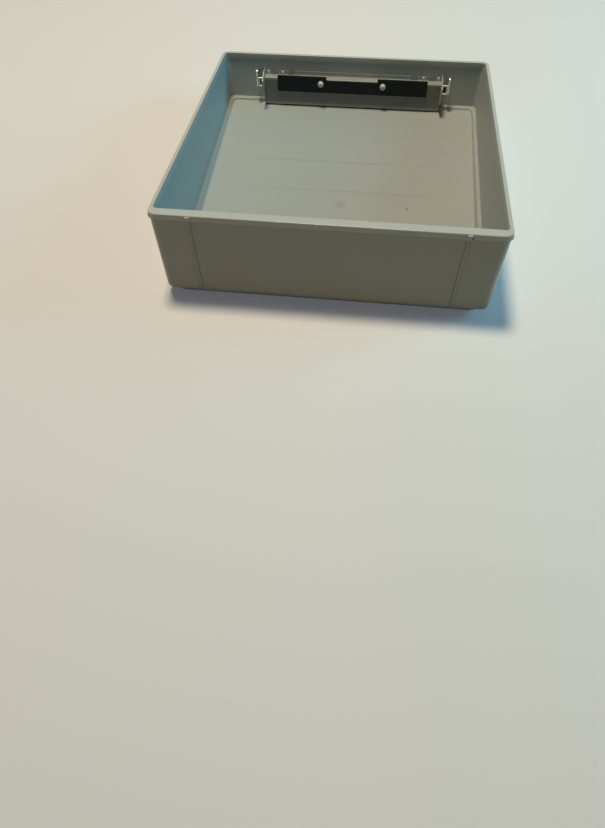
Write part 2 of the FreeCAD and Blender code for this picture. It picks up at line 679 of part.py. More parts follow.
def make_bracket():
    """Return the bracket with its spring lugs, its notches and its holes."""
    pieces = [make_bracket_fold()]
    tools = []
    lug_y = ("-(channel_depth - steel / 2)", "-(bolt_plane - spring_diameter / 2 - steel)")
    notch_z = dropped(f"{FLANGE_TOP} - {BEYOND}", "web_drop + steel / 2")
    for word, side in SIDES:
        lug_x = mirrored(side, f"{LUG_END} - steel", LUG_END)
        pieces.append(box(f"spring_lug_{word}", lug_x, lug_y, span(f"-{ARM_MIDDLE}", "stop_height")))
        for name, place in (("inner", NOTCH_INNER), ("outer", NOTCH_OUTER)):
            notch_x = span(f"{side} * {place}", "notch_width")
            tools.append(box(f"{name}_notch_{word}", notch_x, ("-2 * steel", "steel"), notch_z))
    flange = (f"-steel - {BEYOND}", f"{BEYOND}")
    face = (f"-channel_depth - {BEYOND}", f"{BEYOND}")
    tools += pin_pair("flange_hole_inner", RIVET_INNER, RIVET_DROP, flange, "rivet_diameter")
    tools += pin_pair("flange_hole_outer", RIVET_OUTER, RIVET_DROP, flange, "rivet_diameter")
    tools += pin_pair("face_screw_hole", "screw_offset", "screw_drop", face, SCREW_HOLE)
    tools += pin_pair("face_guide_hole", GUIDE_PLACE, ARM_MIDDLE, face, "guide_diameter")
    tools += pin_pair("face_tab_hole", TAB_RIVET_PLACE, TAB_RIVET_DROP, face, "rivet_diameter")
    return cut("latch_bracket", join("bracket_lugged", pieces), tools)


def make_end_plate(word, side):
    """Return an end plate with its nose, its slot for the bolt and its tab behind the bracket."""
    name = f"end_plate_{word}"
    body = make_body(f"{name}_blank")
    top = f"-({FLANGE_TOP} - end_rise)"
    nose_top = "-(web_drop + nose_fall)"
    points = [
        ("0", top), ("0", f"-{FOOT_DROP}"), ("-end_heel", f"-{FOOT_DROP}"),
        ("-end_reach", f"{nose_top} - nose_height"), ("-end_reach", nose_top), ("-channel_depth", top),
    ]
    level = BRACKET_END if side > 0 else f"-({BRACKET_END} + steel)"
    pad(body, f"{name}_pad", outline(body, f"{name}_profile", "YZ_Plane", points, level), "steel")
    wall_side = measure("-end_heel / 2")
    half_steel = measure("steel / 2")
    fillet(
        body, f"{name}_corners", "end_corner_radius",
        lambda e: runs_along(e, "x", half_steel) and e.CenterOfMass.y < wall_side,
    )
    tab_x = mirrored(side, f"{BRACKET_END} - tab_length", f"{BRACKET_END} + steel / 2")
    tab_y = ("-(channel_depth - steel)", "-(channel_depth - 2 * steel)")
    tab = box(f"{name}_tab", tab_x, tab_y, dropped(TAB_TOP, TAB_BOTTOM))
    slot_x = mirrored(side, f"{BRACKET_END} - {BEYOND}", f"{BRACKET_END} + steel + {BEYOND}")
    slot_y = span("-bolt_plane", "bolt_thickness + 2 * bolt_clearance")
    slot_z = span(f"-{ARM_MIDDLE}", "arm_height + 2 * bolt_clearance")
    slot = box(f"{name}_slot", slot_x, slot_y, slot_z)
    hole_y = (f"-channel_depth - {BEYOND}", "0")
    hole = pin(f"{name}_hole", f"{side} * {TAB_RIVET_PLACE}", TAB_RIVET_DROP, hole_y, "rivet_diameter")
    return cut(name, join(f"{name}_tabbed", [body, tab]), [slot, hole])


def make_cover_plate():
    """Return the black plate over the mechanism, notched in the middle of its top edge."""
    body = make_body("cover_plate_blank")
    half = "plate_length / 2"
    notch = "plate_notch_length / 2"
    top = "-(web_drop - plate_rise)"
    notch_foot = f"{top} - plate_notch_depth"
    foot = f"{top} - plate_height"
    points = [
        (f"-{half}", foot), (half, foot), (half, top), (notch, top), (notch, notch_foot),
        (f"-{notch}", notch_foot), (f"-{notch}", top), (f"-{half}", top),
    ]
    # this plane's normal points into the case, along -y
    face = outline(body, "cover_plate_outline", "XZ_Plane", points, "channel_depth")
    pad(body, "cover_plate_pad", face, "plate_thickness")
    through = (f"-{PLATE_FRONT} - {BEYOND}", f"-channel_depth + {BEYOND}")
    holes = pin_pair("plate_hole", "screw_offset", "screw_drop", through, SCREW_HOLE)
    return cut("cover_plate", body, holes)


def make_long_screws():
    """Return two long screws with domed, slotted heads, from the cover plate into the handle base."""
    top = f"-{PLATE_FRONT} - screw_head_height"
    shank_y = (f"-{PLATE_FRONT}", f"{BASE_FACE} - thread_cover")
    head_y = (top, f"-{PLATE_FRONT}")
    slot_y = (f"{top} - {BEYOND}", f"{top} + screw_slot")
    slot_z = span("-screw_drop", "screw_slot")
    face = measure(top)
    screws = []
    for word, side in SIDES:
        x = f"{side} * screw_offset"
        shank = pin(f"long_shank_{word}", x, "screw_drop", shank_y, "screw_diameter")
        head = pin(f"long_head_{word}", x, "screw_drop", head_y, "screw_head")
        domed = rounded(
            f"long_dome_{word}", head, "screw_head_height * 0.7",
            lambda e: abs(e.CenterOfMass.y - face) < 1e-4 and e.BoundBox.YLength < 1e-4,
        )
        slot = box(f"driver_slot_{word}", span(x, "2 * screw_head"), slot_y, slot_z)
        screws.append(cut(f"long_screw_{word}", join(f"long_solid_{word}", [shank, domed]), [slot]))
    return group("cover_plate_screws", screws)


def make_sleeves():
    """Return two sleeves that keep the long screws from crushing the channel."""
    tube_y = ("-(channel_depth - steel)", "0")
    bore_y = (f"-channel_depth - {BEYOND}", f"{BEYOND}")
    tubes = pin_pair("sleeve_tube", "screw_offset", "screw_drop", tube_y, "sleeve_diameter")
    bores = pin_pair("sleeve_bore", "screw_offset", "screw_drop", bore_y, SCREW_HOLE)
    sleeves = [cut(f"sleeve_{n}", tube, [bore]) for n, (tube, bore) in enumerate(zip(tubes, bores))]
    return group("spacer_sleeves", sleeves)


def make_bracket_rivets():
    """Return four small rivets through the bracket's back flange, flush outside."""
    head_y = ("-steel - rivet_head_height", "-steel")
    rivets = []
    for name, place in (("inner", RIVET_INNER), ("outer", RIVET_OUTER)):
        shanks = pin_pair(f"{name}_shank", place, RIVET_DROP, ("-steel", "wall"), "rivet_diameter")
        heads = pin_pair(f"{name}_head", place, RIVET_DROP, head_y, "rivet_head")
        rivets += [join(f"{name}_rivet_{n}", pair) for n, pair in enumerate(zip(shanks, heads))]
    return group("bracket_rivets", rivets)


def make_end_plate_rivets():
    """Return the flush rivets through the bracket's face and the end plates' tabs."""
    y = ("-channel_depth", "-(channel_depth - 2 * steel)")
    rivets = pin_pair("tab_rivet", TAB_RIVET_PLACE, TAB_RIVET_DROP, y, "rivet_diameter")
    return group("end_plate_rivets", rivets)


def make_guide_rivets():
    """Return two shouldered rivets, flush with the bracket's face, that the bolts slide on."""
    collar_end = f"-{BOLT_FRONT} - guide_clearance"
    head_start = f"-{BOLT_BACK} + guide_clearance"
    spans = (
        ("shank", ("-channel_depth", head_start), "guide_diameter"),
        ("collar", ("-(channel_depth - steel)", collar_end), "guide_collar"),
        ("head", (head_start, f"{head_start} + guide_head_height"), "guide_collar"),
    )
    rivets = []
    for word, side in SIDES:
        pieces = [
            pin(f"guide_{name}_{word}", f"{side} * {GUIDE_PLACE}", ARM_MIDDLE, y, diameter)
            for name, y, diameter in spans
        ]
        rivets.append(join(f"guide_rivet_{word}", pieces))
    return group("guide_rivets", rivets)


# --- the latch bolts, their springs and their buttons --------------------------------------------


def make_bolt(word, side):
    """Return a flat bolt: arm, spring tongue, guide slot, window and the bent tab on its end."""
    name = f"latch_bolt_{word}"
    y = span("-bolt_plane", "bolt_thickness")
    arm = box(f"{name}_arm", mirrored(side, ARM_END, BOLT_TIP), y, dropped(ARM_TOP, ARM_BOTTOM))
    tongue_x = mirrored(side, f"{ARM_END} - tongue_length", f"{ARM_END} + {BEYOND}")
    tongue = box(f"{name}_tongue", tongue_x, y, span(f"-{ARM_MIDDLE}", "tongue_height"))
    tee_x = mirrored(side, f"{BOLT_TIP} - bolt_thickness", BOLT_TIP)
    tee_z = dropped(f"{ARM_TOP} - tee_rise", f"{ARM_TOP} - tee_rise + tee_height")
    tee = box(f"{name}_tee", tee_x, span("-bolt_plane", "tee_reach"), tee_z)
    half = measure("bolt_thickness / 2")
    tab = rounded(f"{name}_tab", tee, "bolt_thickness * 0.9", lambda e: runs_along(e, "x", half))
    through = span("-bolt_plane", f"bolt_thickness + 2 * {BEYOND}")
    slot_height = "(guide_diameter + 2 * guide_clearance)"
    slot_x = mirrored(side, GUIDE_PLACE, f"{GUIDE_PLACE} + bolt_travel")
    window_end = f"({BOLT_TIP} - bolt_thickness - window_margin)"
    window_x = mirrored(side, f"{window_end} - window_length", window_end)
    tools = [
        box(f"{name}_slot", slot_x, through, span(f"-{ARM_MIDDLE}", slot_height)),
        box(f"{name}_window", window_x, through, span(f"-{ARM_MIDDLE}", "window_height")),
        pin(f"{name}_hole", f"{side} * {BUTTON_PLACE}", ARM_MIDDLE, through, "button_screw"),
    ]
    for n in (0, 1):
        end = f"{side} * ({GUIDE_PLACE} + {n} * bolt_travel)"
        tools.append(pin(f"{name}_slot_end_{n}", end, ARM_MIDDLE, through, slot_height))
    return cut(name, join(f"{name}_blank", [arm, tongue, tab]), tools)


def make_spring(word):
    """Return a compression spring along z, from its fixed end to the bolt's shoulder."""
    body = make_body(f"latch_spring_{word}")
    mean = "(spring_diameter - spring_wire) / 2"
    start = "spring_gap + spring_wire / 2"
    wire = measure("spring_wire / 2")
    sketch = blank_sketch(body, f"spring_section_{word}", "XZ_Plane")
    sketch.addGeometry(Part.Circle(Vector(measure(mean), measure(start), 0), Vector(0, 0, 1), wire), False)
    tie(sketch, 0, 3, "_centre", mean, start)
    index = sketch.addConstraint(Sketcher.Constraint("Radius", 0, wire))
    sketch.renameConstraint(index, "wire_radius")
    sketch.setExpression("Constraints.wire_radius", bound("spring_wire / 2"))
    coil = body.newObject("PartDesign::AdditiveHelix", f"spring_coil_{word}")
    coil.Profile = sketch
    coil.ReferenceAxis = (sketch, ["V_Axis"])
    coil.Mode = "height-turns-angle"
    bind(coil, Height="spring_length - spring_wire - 2 * spring_gap", Turns="spring_turns")
    return body


def make_button(word, side):
    """Return a ribbed finger button with its flange and its stem through the wall."""
    name = f"finger_button_{word}"
    x = f"{side} * {BUTTON_PLACE}"
    z = f"-{ARM_MIDDLE}"
    back = "(wall + button_float)"
    block = box(f"{name}_block", span(x, "button_length"), (back, BUTTON_FRONT), span(z, "button_height"))
    depth = measure(f"{BUTTON_FRONT} - {back}")
    body = rounded(f"{name}_body", block, "button_radius", lambda e: runs_along(e, "y", depth / 2))
    flange = box(
        f"{name}_flange", span(x, "button_length + 2 * button_flange"),
        (back, f"{back} + button_flange_thickness"), span(z, "button_height + 2 * button_flange"),
    )
    stem = pin(f"{name}_stem", x, ARM_MIDDLE, (f"-{BOLT_BACK}", f"{back} + {BEYOND}"), "button_stem")
    pieces = [body, flange, stem]
    rib_y = (f"{BUTTON_FRONT} - rib_height", f"{BUTTON_FRONT} + rib_height")
    rib_z = span(z, "button_height - 2 * rib_margin")
    for n in range(round(measure("rib_count"))):
        middle = f"{x} + ({n} - (rib_count - 1) / 2) * rib_pitch"
        pieces.append(box(f"{name}_rib_{n}", span(middle, "rib_width"), rib_y, rib_z))
    bore = pin(f"{name}_bore", x, ARM_MIDDLE, (f"-{BOLT_BACK} - {BEYOND}", "wall"), "button_screw")
    return cut(name, join(f"{name}_solid", pieces), [bore])


def make_button_screw(word, side):
    """Return the screw that holds a button's stem to its bolt, driven from the channel's side."""
    x = f"{side} * {BUTTON_PLACE}"
    head_y = (f"-{BOLT_FRONT} - button_screw_head_height", f"-{BOLT_FRONT}")
    shank = pin(f"button_shank_{word}", x, ARM_MIDDLE, (f"-{BOLT_FRONT}", "0"), "button_screw")
    head = pin(f"button_head_{word}", x, ARM_MIDDLE, head_y, "button_screw_head")
    return join(f"button_screw_{word}", [shank, head])


# --- the carrying handle -------------------------------------------------------------------------


def pivot_rod(name, x, diameter, frame="latch"):
    """Return a cylinder on the pivot axis through a span along X, in the latch or handle frame."""
    start = (x[0], PIVOT_Y, f"-{PIVOT_DROP}") if frame == "latch" else (x[0], "0", "0")
    return rod(name, "x", start, f"({x[1]}) - ({x[0]})", diameter)


def lug_spans(side):
    """Return the spans along X of the two lugs beside a bail leg."""
    inner = mirrored(side, f"{PIVOT_PLACE} - {LEG_SPACE} - lug_thickness", f"{PIVOT_PLACE} - {LEG_SPACE}")
    outer = mirrored(side, f"{PIVOT_PLACE} + {LEG_SPACE}", f"{PIVOT_PLACE} + {LEG_SPACE} + lug_thickness")
    return (("inner", inner), ("outer", outer))


def make_lugs(word, side):
    """Return the two pivot lugs of one side."""
    foot_y = (f"{BASE_FACE} - {BEYOND}", PIVOT_Y)
    pieces = []
    for name, x in lug_spans(side):
        pieces.append(box(f"{name}_foot_{word}", x, foot_y, span(f"-{PIVOT_DROP}", "2 * lug_radius")))
        pieces.append(pivot_rod(f"{name}_round_{word}", x, "2 * lug_radius"))
    return pieces


def make_button_room(word, side):
    """Return the tools for a button's window and for its flange's pocket behind the plate."""
    height = "(button_height + 2 * button_gap)"
    window_x = mirrored(side, WINDOW_INNER, f"{BUTTON_PLACE} + button_length / 2 + button_gap")
    window_y = (f"wall - {BEYOND}", f"{BASE_FACE} + {BEYOND}")
    window_z = span(f"-{ARM_MIDDLE}", height)
    pocket_x = (f"{window_x[0]} - button_flange", f"{window_x[1]} + button_flange")
    pocket_y = (f"wall - {BEYOND}", "wall + button_flange_thickness + 2 * button_float")
    pocket_z = span(f"-{ARM_MIDDLE}", f"{height} + 2 * button_flange")
    window = box(f"button_window_{word}", window_x, window_y, window_z)
    pocket = box(f"button_pocket_{word}", pocket_x, pocket_y, pocket_z)
    return [window, pocket]


def make_handle_base():
    """Return the plate outside the low wall: windows, bosses through the wall and pivot lugs."""
    z = dropped("base_top_drop", "base_top_drop + base_height")
    block = box("base_block", (f"-{BASE_END}", BASE_END), ("wall", BASE_FACE), z)
    half = measure("base_thickness / 2")
    pieces = [rounded("base_plate", block, "base_radius", lambda e: runs_along(e, "y", half))]
    boss_y = ("0", f"wall + {BEYOND}")
    pieces += pin_pair("base_boss", "screw_offset", "screw_drop", boss_y, "boss_diameter")
    bore_y = (f"-{BEYOND}", f"{BASE_FACE} - thread_cover")
    tools = pin_pair("base_bore", "screw_offset", "screw_drop", bore_y, "screw_diameter")
    for word, side in SIDES:
        pieces += make_lugs(word, side)
        tools += make_button_room(word, side)
        bore_x = span(f"{side} * {PIVOT_PLACE}", "6 * lug_thickness")
        tools.append(pivot_rod(f"lug_bore_{word}", bore_x, "pin_diameter"))
    return cut("handle_base", join("base_solid", pieces), tools)


def make_pins():
    """Return two headed pivot pins, each through both lugs of its side."""
    pins = []
    for word, side in SIDES:
        inner, outer = (x for name, x in lug_spans(side))
        through = (inner[0], outer[1]) if side > 0 else (outer[0], inner[1])
        lug_face = f"{PIVOT_PLACE} + {LEG_SPACE} + lug_thickness"
        head_x = mirrored(side, lug_face, f"{lug_face} + pin_head_height")
        shank = pivot_rod(f"pin_shank_{word}", through, "pin_diameter")
        head = pivot_rod(f"pin_head_{word}", head_x, "pin_head")
        pins.append(join(f"pivot_pin_{word}", [shank, head]))
    return group("pivot_pins", pins)


def make_washers():
    """Return four thin washers, one on each side of each bail leg."""
    offset = "(leg_thickness / 2 + washer_gap + washer_thickness / 2)"
    washers = []
    for word, side in SIDES:
        for name, way in (("inner", -1), ("outer", 1)):
            middle = f"{side} * ({PIVOT_PLACE} + {way} * {offset})"
            disc = pivot_rod(f"{name}_disc_{word}", span(middle, "washer_thickness"), "leg_width")
            hole_x = span(middle, "2 * washer_thickness")
            hole = pivot_rod(f"{name}_hole_{word}", hole_x, "pin_diameter + 2 * pin_clearance")
            washers.append(cut(f"{name}_washer_{word}", disc, [hole]))
    return group("pivot_washers", washers)


def make_bail():
    """Return the bail: two legs with stop toes, joined by the strap that runs through the grip."""
    foot = "-(leg_drop + strap_height / 2)"
    strap_z = (foot, f"{foot} + strap_height")
    pieces = [box("strap", (f"-{PIVOT_PLACE}", PIVOT_PLACE), span("0", "strap_width"), strap_z)]
    tools = []
    for word, side in SIDES:
        x = span(f"{side} * {PIVOT_PLACE}", "leg_thickness")
        bore_x = span(f"{side} * {PIVOT_PLACE}", "2 * leg_thickness")
        pieces.append(box(f"leg_{word}", x, span("0", "leg_width"), (foot, "0")))
        pieces.append(box(f"toe_{word}", x, ("0", "leg_width / 2"), ("0", TOE_HEIGHT)))
        pieces.append(pivot_rod(f"eye_{word}", x, "leg_width", "handle"))
        tools.append(pivot_rod(f"eye_bore_{word}", bore_x, "pin_diameter + 2 * pin_clearance", "handle"))
    return cut("handle_bail", join("bail_solid", pieces), tools)


def make_grip():
    """Return the moulded grip, with the slot that the strap fills."""
    length = f"(2 * ({PIVOT_PLACE} - leg_thickness / 2 - grip_gap))"
    block = box("grip_block", span("0", length), span("0", "grip_width"), span("-leg_drop", "grip_height"))
    bar = rounded("grip_bar", block, "grip_radius", lambda e: runs_along(e, "x", 20))
    slot_z = span("-leg_drop", "strap_height")
    slot = box("grip_slot", span("0", f"2 * {length}"), span("0", "strap_width"), slot_z)
    return cut("handle_grip", bar, [slot])


# --- the hook tongues inside the tall wall -------------------------------------------------------


def make_hook(word, side):
    """Return a tongue bent from strip: a leg on two posts and a tongue into the case."""
    name = f"hook_tongue_{word}"
    x = span(f"{side} * {HOOK_PLACE}", "hook_width")
    leg_z = dropped("hook_top_drop", "hook_top_drop + hook_leg")
    leg = box(f"{name}_leg", x, ("post_height", HOOK_SEAT), leg_z)
    tongue_z = dropped("hook_top_drop", "hook_top_drop + hook_sheet")
    tongue = box(f"{name}_strip", x, ("post_height", f"{HOOK_SEAT} + hook_reach"), tongue_z)
    through = (f"post_height - {BEYOND}", f"{HOOK_SEAT} + {BEYOND}")
    holes = [
        pin(f"{name}_hole_{n}", post_place(side, n), HOOK_MIDDLE, through, "hook_screw")
        for n in (-1, 1)
    ]
    return cut(name, join(f"{name}_blank", [leg, tongue]), holes)


def make_hook_screws():
    """Return four short screws that hold the tongues to their posts."""
    shanks = post_pins("hook_shank", ("post_floor", HOOK_SEAT), "hook_screw")
    heads = post_pins("hook_head", (HOOK_SEAT, f"{HOOK_SEAT} + hook_screw_head_height"), "hook_screw_head")
    screws = [join(f"hook_screw_{n}", pair) for n, pair in enumerate(zip(shanks, heads))]
    return group("hook_tongue_screws", screws)


# --- assembly ------------------------------------------------------------------------------------

to_case = case_place()
to_latch = to_case.multiply(latch_place())
to_hooks = to_case.multiply(hook_place())
to_handle = handle_place()

nodes = [(make_cover(), to_case)]
for make in (
    make_bracket, make_cover_plate, make_long_screws, make_sleeves, make_bracket_rivets,
    make_end_plate_rivets, make_guide_rivets, make_handle_base, make_pins, make_washers,
):
    nodes.append((make(), to_latch))
for word, side in SIDES:
    for make in (make_end_plate, make_bolt, make_button, make_button_screw):
        nodes.append((make(word, side), to_latch))
    nodes.append((make_spring(word), to_latch.multiply(spring_place(side))))
    nodes.append((make_hook(word, side), to_hooks))
nodes.append((make_hook_screws(), to_hooks))
nodes.append((make_bail(), to_handle))
nodes.append((make_grip(), to_handle))

for item, place in nodes:
    item.Placement = place
document.recompute()

for item in document.Objects:
    if "Invalid" in item.State or "Error" in item.State:
        raise RuntimeError(f"{item.Name} failed: {item.State}")
for item, place in nodes:
    if item.Shape.isNull() or not item.Shape.isValid() or not item.Shape.Solids:
        raise RuntimeError(f"{item.Label} has no valid solid")

os.makedirs(NODE_FOLDER, exist_ok=True)
for item, place in nodes:
    item.Shape.exportStep(os.path.join(NODE_FOLDER, f"{item.Label}.step"))
    print(f"{item.Label}: {len(item.Shape.Solids)} solid(s), {item.Shape.Volume / 1000:.2f} cm3")
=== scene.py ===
"""Looks of the portable typewriter case's cover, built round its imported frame.

Every length is in metres, in the case's own frame: the cover lies open side up on its raised top
panel at z = 0, the tall wall is at -Y, and the low wall with the latch and the handle is at +Y.
"""

import json
import logging
import math
from dataclasses import dataclass, field
from enum import Enum
from typing import ClassVar

import bpy
from mathutils import Euler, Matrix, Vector


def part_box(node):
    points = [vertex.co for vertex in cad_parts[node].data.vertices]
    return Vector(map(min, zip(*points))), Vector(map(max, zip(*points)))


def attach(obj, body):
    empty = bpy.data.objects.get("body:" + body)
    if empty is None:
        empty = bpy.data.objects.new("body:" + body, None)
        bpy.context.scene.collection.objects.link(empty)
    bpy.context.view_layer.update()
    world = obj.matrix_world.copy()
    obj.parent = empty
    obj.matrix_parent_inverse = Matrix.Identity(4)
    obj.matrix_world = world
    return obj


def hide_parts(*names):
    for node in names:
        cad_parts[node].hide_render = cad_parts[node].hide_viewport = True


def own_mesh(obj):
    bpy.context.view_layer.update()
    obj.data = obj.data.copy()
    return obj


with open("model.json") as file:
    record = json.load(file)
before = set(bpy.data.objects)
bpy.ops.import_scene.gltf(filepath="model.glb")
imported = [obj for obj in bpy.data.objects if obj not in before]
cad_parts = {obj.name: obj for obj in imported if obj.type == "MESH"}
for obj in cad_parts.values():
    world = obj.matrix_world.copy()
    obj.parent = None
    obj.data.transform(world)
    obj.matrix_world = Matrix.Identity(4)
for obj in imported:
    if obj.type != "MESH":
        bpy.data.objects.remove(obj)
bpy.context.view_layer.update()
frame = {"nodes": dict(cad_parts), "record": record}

log = logging.getLogger("case_cover")

MM = 0.001
DRAFT = math.radians(1.7)  # lean of the moulded walls
SAME_CORNER = 0.001 * MM  # how far apart the same corner of two triangles may lie
Triple = tuple[float, float, float]
Colour = Triple
Socket = bpy.types.NodeSocket


class Side(Enum):
    """The two mirrored halves of the cover."""

    LEFT = -1
    RIGHT = 1

    @property
    def word(self) -> str:
        """Return the side's name as the nodes spell it."""
        return self.name.lower()


class Wear(Enum):
    """How much use a finish shows, as a share of the most that it can show."""

    HANDLED = 0.6
    WORN = 1.0


class Drive(Enum):
    """How the head of a fastener is turned or closed."""

    SLOT = "slot"
    CLOSED = "closed"


# --- node trees ----------------------------------------------------------------------------------


class Recipe:
    """A material's node tree, put together a few nodes at a time."""

    MIX_FIRST, MIX_SECOND, MIX_RESULT = 6, 7, 2  # the Mix node's sockets for colours
    CORNER_SAMPLES = 6
    EDGE_SAMPLES = 4
    ROUNDING_SAMPLES = 6
    EDGE_LOOK = (0.995, 0.86)  # cosines of the angle at which an edge begins, and is whole

    def __init__(self, name: str) -> None:
        """Start an empty material with a principled shader.

        Args:
            name: The material's name.
        """
        self.material = bpy.data.materials.new(name)
        self.material.use_nodes = True
        self.tree = self.material.node_tree
        self.shader = self.tree.nodes["Principled BSDF"]
        self.place = self.tree.nodes.new("ShaderNodeTexCoord").outputs["Object"]

    def put(self, socket: Socket, value: object) -> None:
        """Set a socket, or link it where the value is another node's output.

        Args:
            socket: The input to fill.
            value: A number, a colour or an output socket.
        """
        if isinstance(value, Socket):
            self.tree.links.new(value, socket)
        elif isinstance(value, tuple) and len(value) == 3 and socket.type == "RGBA":
            socket.default_value = (*value, 1.0)
        else:
            socket.default_value = value

    def set(self, **sockets: object) -> None:
        """Fill the shader's inputs, named with underscores for spaces."""
        for name, value in sockets.items():
            self.put(self.shader.inputs[name.replace("_", " ")], value)

    def stretched(self, scale: Triple, turn: float = 0.0) -> Socket:
        """Return object coordinates scaled by axis and turned about Z.

        Args:
            scale: Factor along each axis.
            turn: Angle about Z, in degrees.

        Returns:
            The mapped coordinates.
        """
        node = self.tree.nodes.new("ShaderNodeMapping")
        self.put(node.inputs["Vector"], self.place)
        node.inputs["Scale"].default_value = scale
        node.inputs["Rotation"].default_value = (0.0, 0.0, math.radians(turn))
        return node.outputs["Vector"]

    def noise(self, size: float, detail: float = 2.0, where: Socket | None = None) -> Socket:
        """Return a noise whose blotches are about a given size.

        Args:
            size: Size of a blotch, in metres.
            detail: How many finer layers it has.
            where: Coordinates, or None for the object's own.

        Returns:
            The noise's value, about 0.3 to 0.7.
        """
        node = self.tree.nodes.new("ShaderNodeTexNoise")
        self.put(node.inputs["Vector"], where or self.place)
        node.inputs["Scale"].default_value = 1.0 / size
        node.inputs["Detail"].default_value = detail
        return node.outputs["Fac"]

    def cells(self, size: float) -> Socket:
        """Return the distance to the nearest of many scattered points.

        Args:
            size: The points' spacing, in metres.

        Returns:
            The distance, as a share of the spacing.
        """
        node = self.tree.nodes.new("ShaderNodeTexVoronoi")
        self.put(node.inputs["Vector"], self.place)
        node.inputs["Scale"].default_value = 1.0 / size
        return node.outputs["Distance"]

    def steps(self, value: Socket, low: float, high: float) -> Socket:
        """Return a value spread so that low becomes 0 and high becomes 1.

        Args:
            value: The value to spread.
            low: What becomes 0.
            high: What becomes 1.

        Returns:
            The spread value, held between 0 and 1.
        """
        node = self.tree.nodes.new("ShaderNodeMapRange")
        node.clamp = True
        self.put(node.inputs["Value"], value)
        node.inputs["From Min"].default_value = low
        node.inputs["From Max"].default_value = high
        return node.outputs["Result"]

    def maths(self, kind: str, first: object, second: object = 0.5) -> Socket:
        """Return the result of one sum on two values.

        Args:
            kind: Blender's name of the operation, such as MULTIPLY.
            first: A number or an output.
            second: A number or an output.

        Returns:
            The result.
        """
        node = self.tree.nodes.new("ShaderNodeMath")
        node.operation = kind
        self.put(node.inputs[0], first)
        self.put(node.inputs[1], second)
        return node.outputs["Value"]

    def blend(self, share: object, first: object, second: object) -> Socket:
        """Return a colour between two colours.

        Args:
            share: 0 for the first colour and 1 for the second.
            first: A colour or an output.
            second: A colour or an output.

        Returns:
            The mixed colour.
        """
        node = self.tree.nodes.new("ShaderNodeMix")
        node.data_type = "RGBA"
        self.put(node.inputs[0], share)
        self.put(node.inputs[self.MIX_FIRST], first)
        self.put(node.inputs[self.MIX_SECOND], second)
        return node.outputs[self.MIX_RESULT]

    def level(self, share: object, first: float, second: float) -> Socket:
        """Return a number between two numbers, in the way that blend mixes colours."""
        return self.maths("ADD", self.maths("MULTIPLY", share, second - first), first)

    def axes(self) -> tuple[Socket, Socket, Socket]:
        """Return the three object coordinates, each by itself.

        Returns:
            The places along X, Y and Z, in metres.
        """
        node = self.tree.nodes.new("ShaderNodeSeparateXYZ")
        self.put(node.inputs["Vector"], self.place)
        return node.outputs["X"], node.outputs["Y"], node.outputs["Z"]

    def spot(self, middle: Vector, size: Triple, soft: float = 0.5) -> Socket:
        """Return a mark at one place: 1 in its middle, 0 beyond its size.

        Args:
            middle: The middle of the mark.
            size: How far it reaches from there along each axis.
            soft: Share of its reach over which it fades.

        Returns:
            A mask, 1 on the mark.
        """
        node = self.tree.nodes.new("ShaderNodeMapping")
        node.vector_type = "TEXTURE"
        self.put(node.inputs["Vector"], self.place)
        node.inputs["Location"].default_value = middle
        node.inputs["Scale"].default_value = size
        reach = self.tree.nodes.new("ShaderNodeVectorMath")
        reach.operation = "LENGTH"
        self.put(reach.inputs[0], node.outputs["Vector"])
        return self.steps(reach.outputs["Value"], 1.0, 1.0 - soft)

    def corners(self, reach: float) -> Socket:
        """Return how far a point is shut in by other surfaces.

        Args:
            reach: How near another surface has to be to count, in metres.

        Returns:
            A mask, 0 in the open and towards 1 in a corner.
        """
        node = self.tree.nodes.new("ShaderNodeAmbientOcclusion")
        node.samples = self.CORNER_SAMPLES
        node.inputs["Distance"].default_value = reach
        return self.maths("SUBTRACT", 1.0, node.outputs["AO"])

    def edges(self, radius: float) -> Socket:
        """Return how near a point is to a sharp edge.

        Args:
            radius: How far the edge's wear reaches, in metres.

        Returns:
            A mask, 0 on a flat and towards 1 on an edge.
        """
        bevel = self.rounded(radius, self.EDGE_SAMPLES)
        flat = self.tree.nodes.new("ShaderNodeNewGeometry")
        dot = self.tree.nodes.new("ShaderNodeVectorMath")
        dot.operation = "DOT_PRODUCT"
        self.put(dot.inputs[0], bevel)
        self.put(dot.inputs[1], flat.outputs["Normal"])
        return self.steps(dot.outputs["Value"], *self.EDGE_LOOK)

    def rounded(self, radius: float, samples: int) -> Socket:
        """Return the normal that the surface would have with its sharp edges rounded.

        Args:
            radius: Radius of the rounding, in metres.
            samples: How many rays look for edges.

        Returns:
            The normal.
        """
        node = self.tree.nodes.new("ShaderNodeBevel")
        node.samples = samples
        node.inputs["Radius"].default_value = radius
        return node.outputs["Normal"]

    def bump(self, height: Socket, depth: float, strength: float, rounding: float = 0.0) -> None:
        """Give the shader a bump.

        Args:
            height: What raises the surface.
            depth: How far a height of 1 stands up, in metres.
            strength: Share of the bump that shows.
            rounding: Radius to which sharp edges seem to be rounded, or 0 to leave them.
        """
        node = self.tree.nodes.new("ShaderNodeBump")
        if rounding > 0:
            self.put(node.inputs["Normal"], self.rounded(rounding, self.ROUNDING_SAMPLES))
        node.inputs["Distance"].default_value = depth
        node.inputs["Strength"].default_value = strength
        self.put(node.inputs["Height"], height)
        self.set(Normal=node.outputs["Normal"])


# --- modelling -----------------------------------------------------------------------------------


def take(*pieces: bpy.types.Object) -> None:
    """Select some pieces and nothing else, in object mode, with the first one active.

    Args:
        pieces: What to select.
    """
    if bpy.context.object and bpy.context.object.mode != "OBJECT":
        bpy.ops.object.mode_set(mode="OBJECT")
    bpy.ops.object.select_all(action="DESELECT")
    for piece in pieces:
        piece.select_set(True)
    bpy.context.view_layer.objects.active = pieces[0]


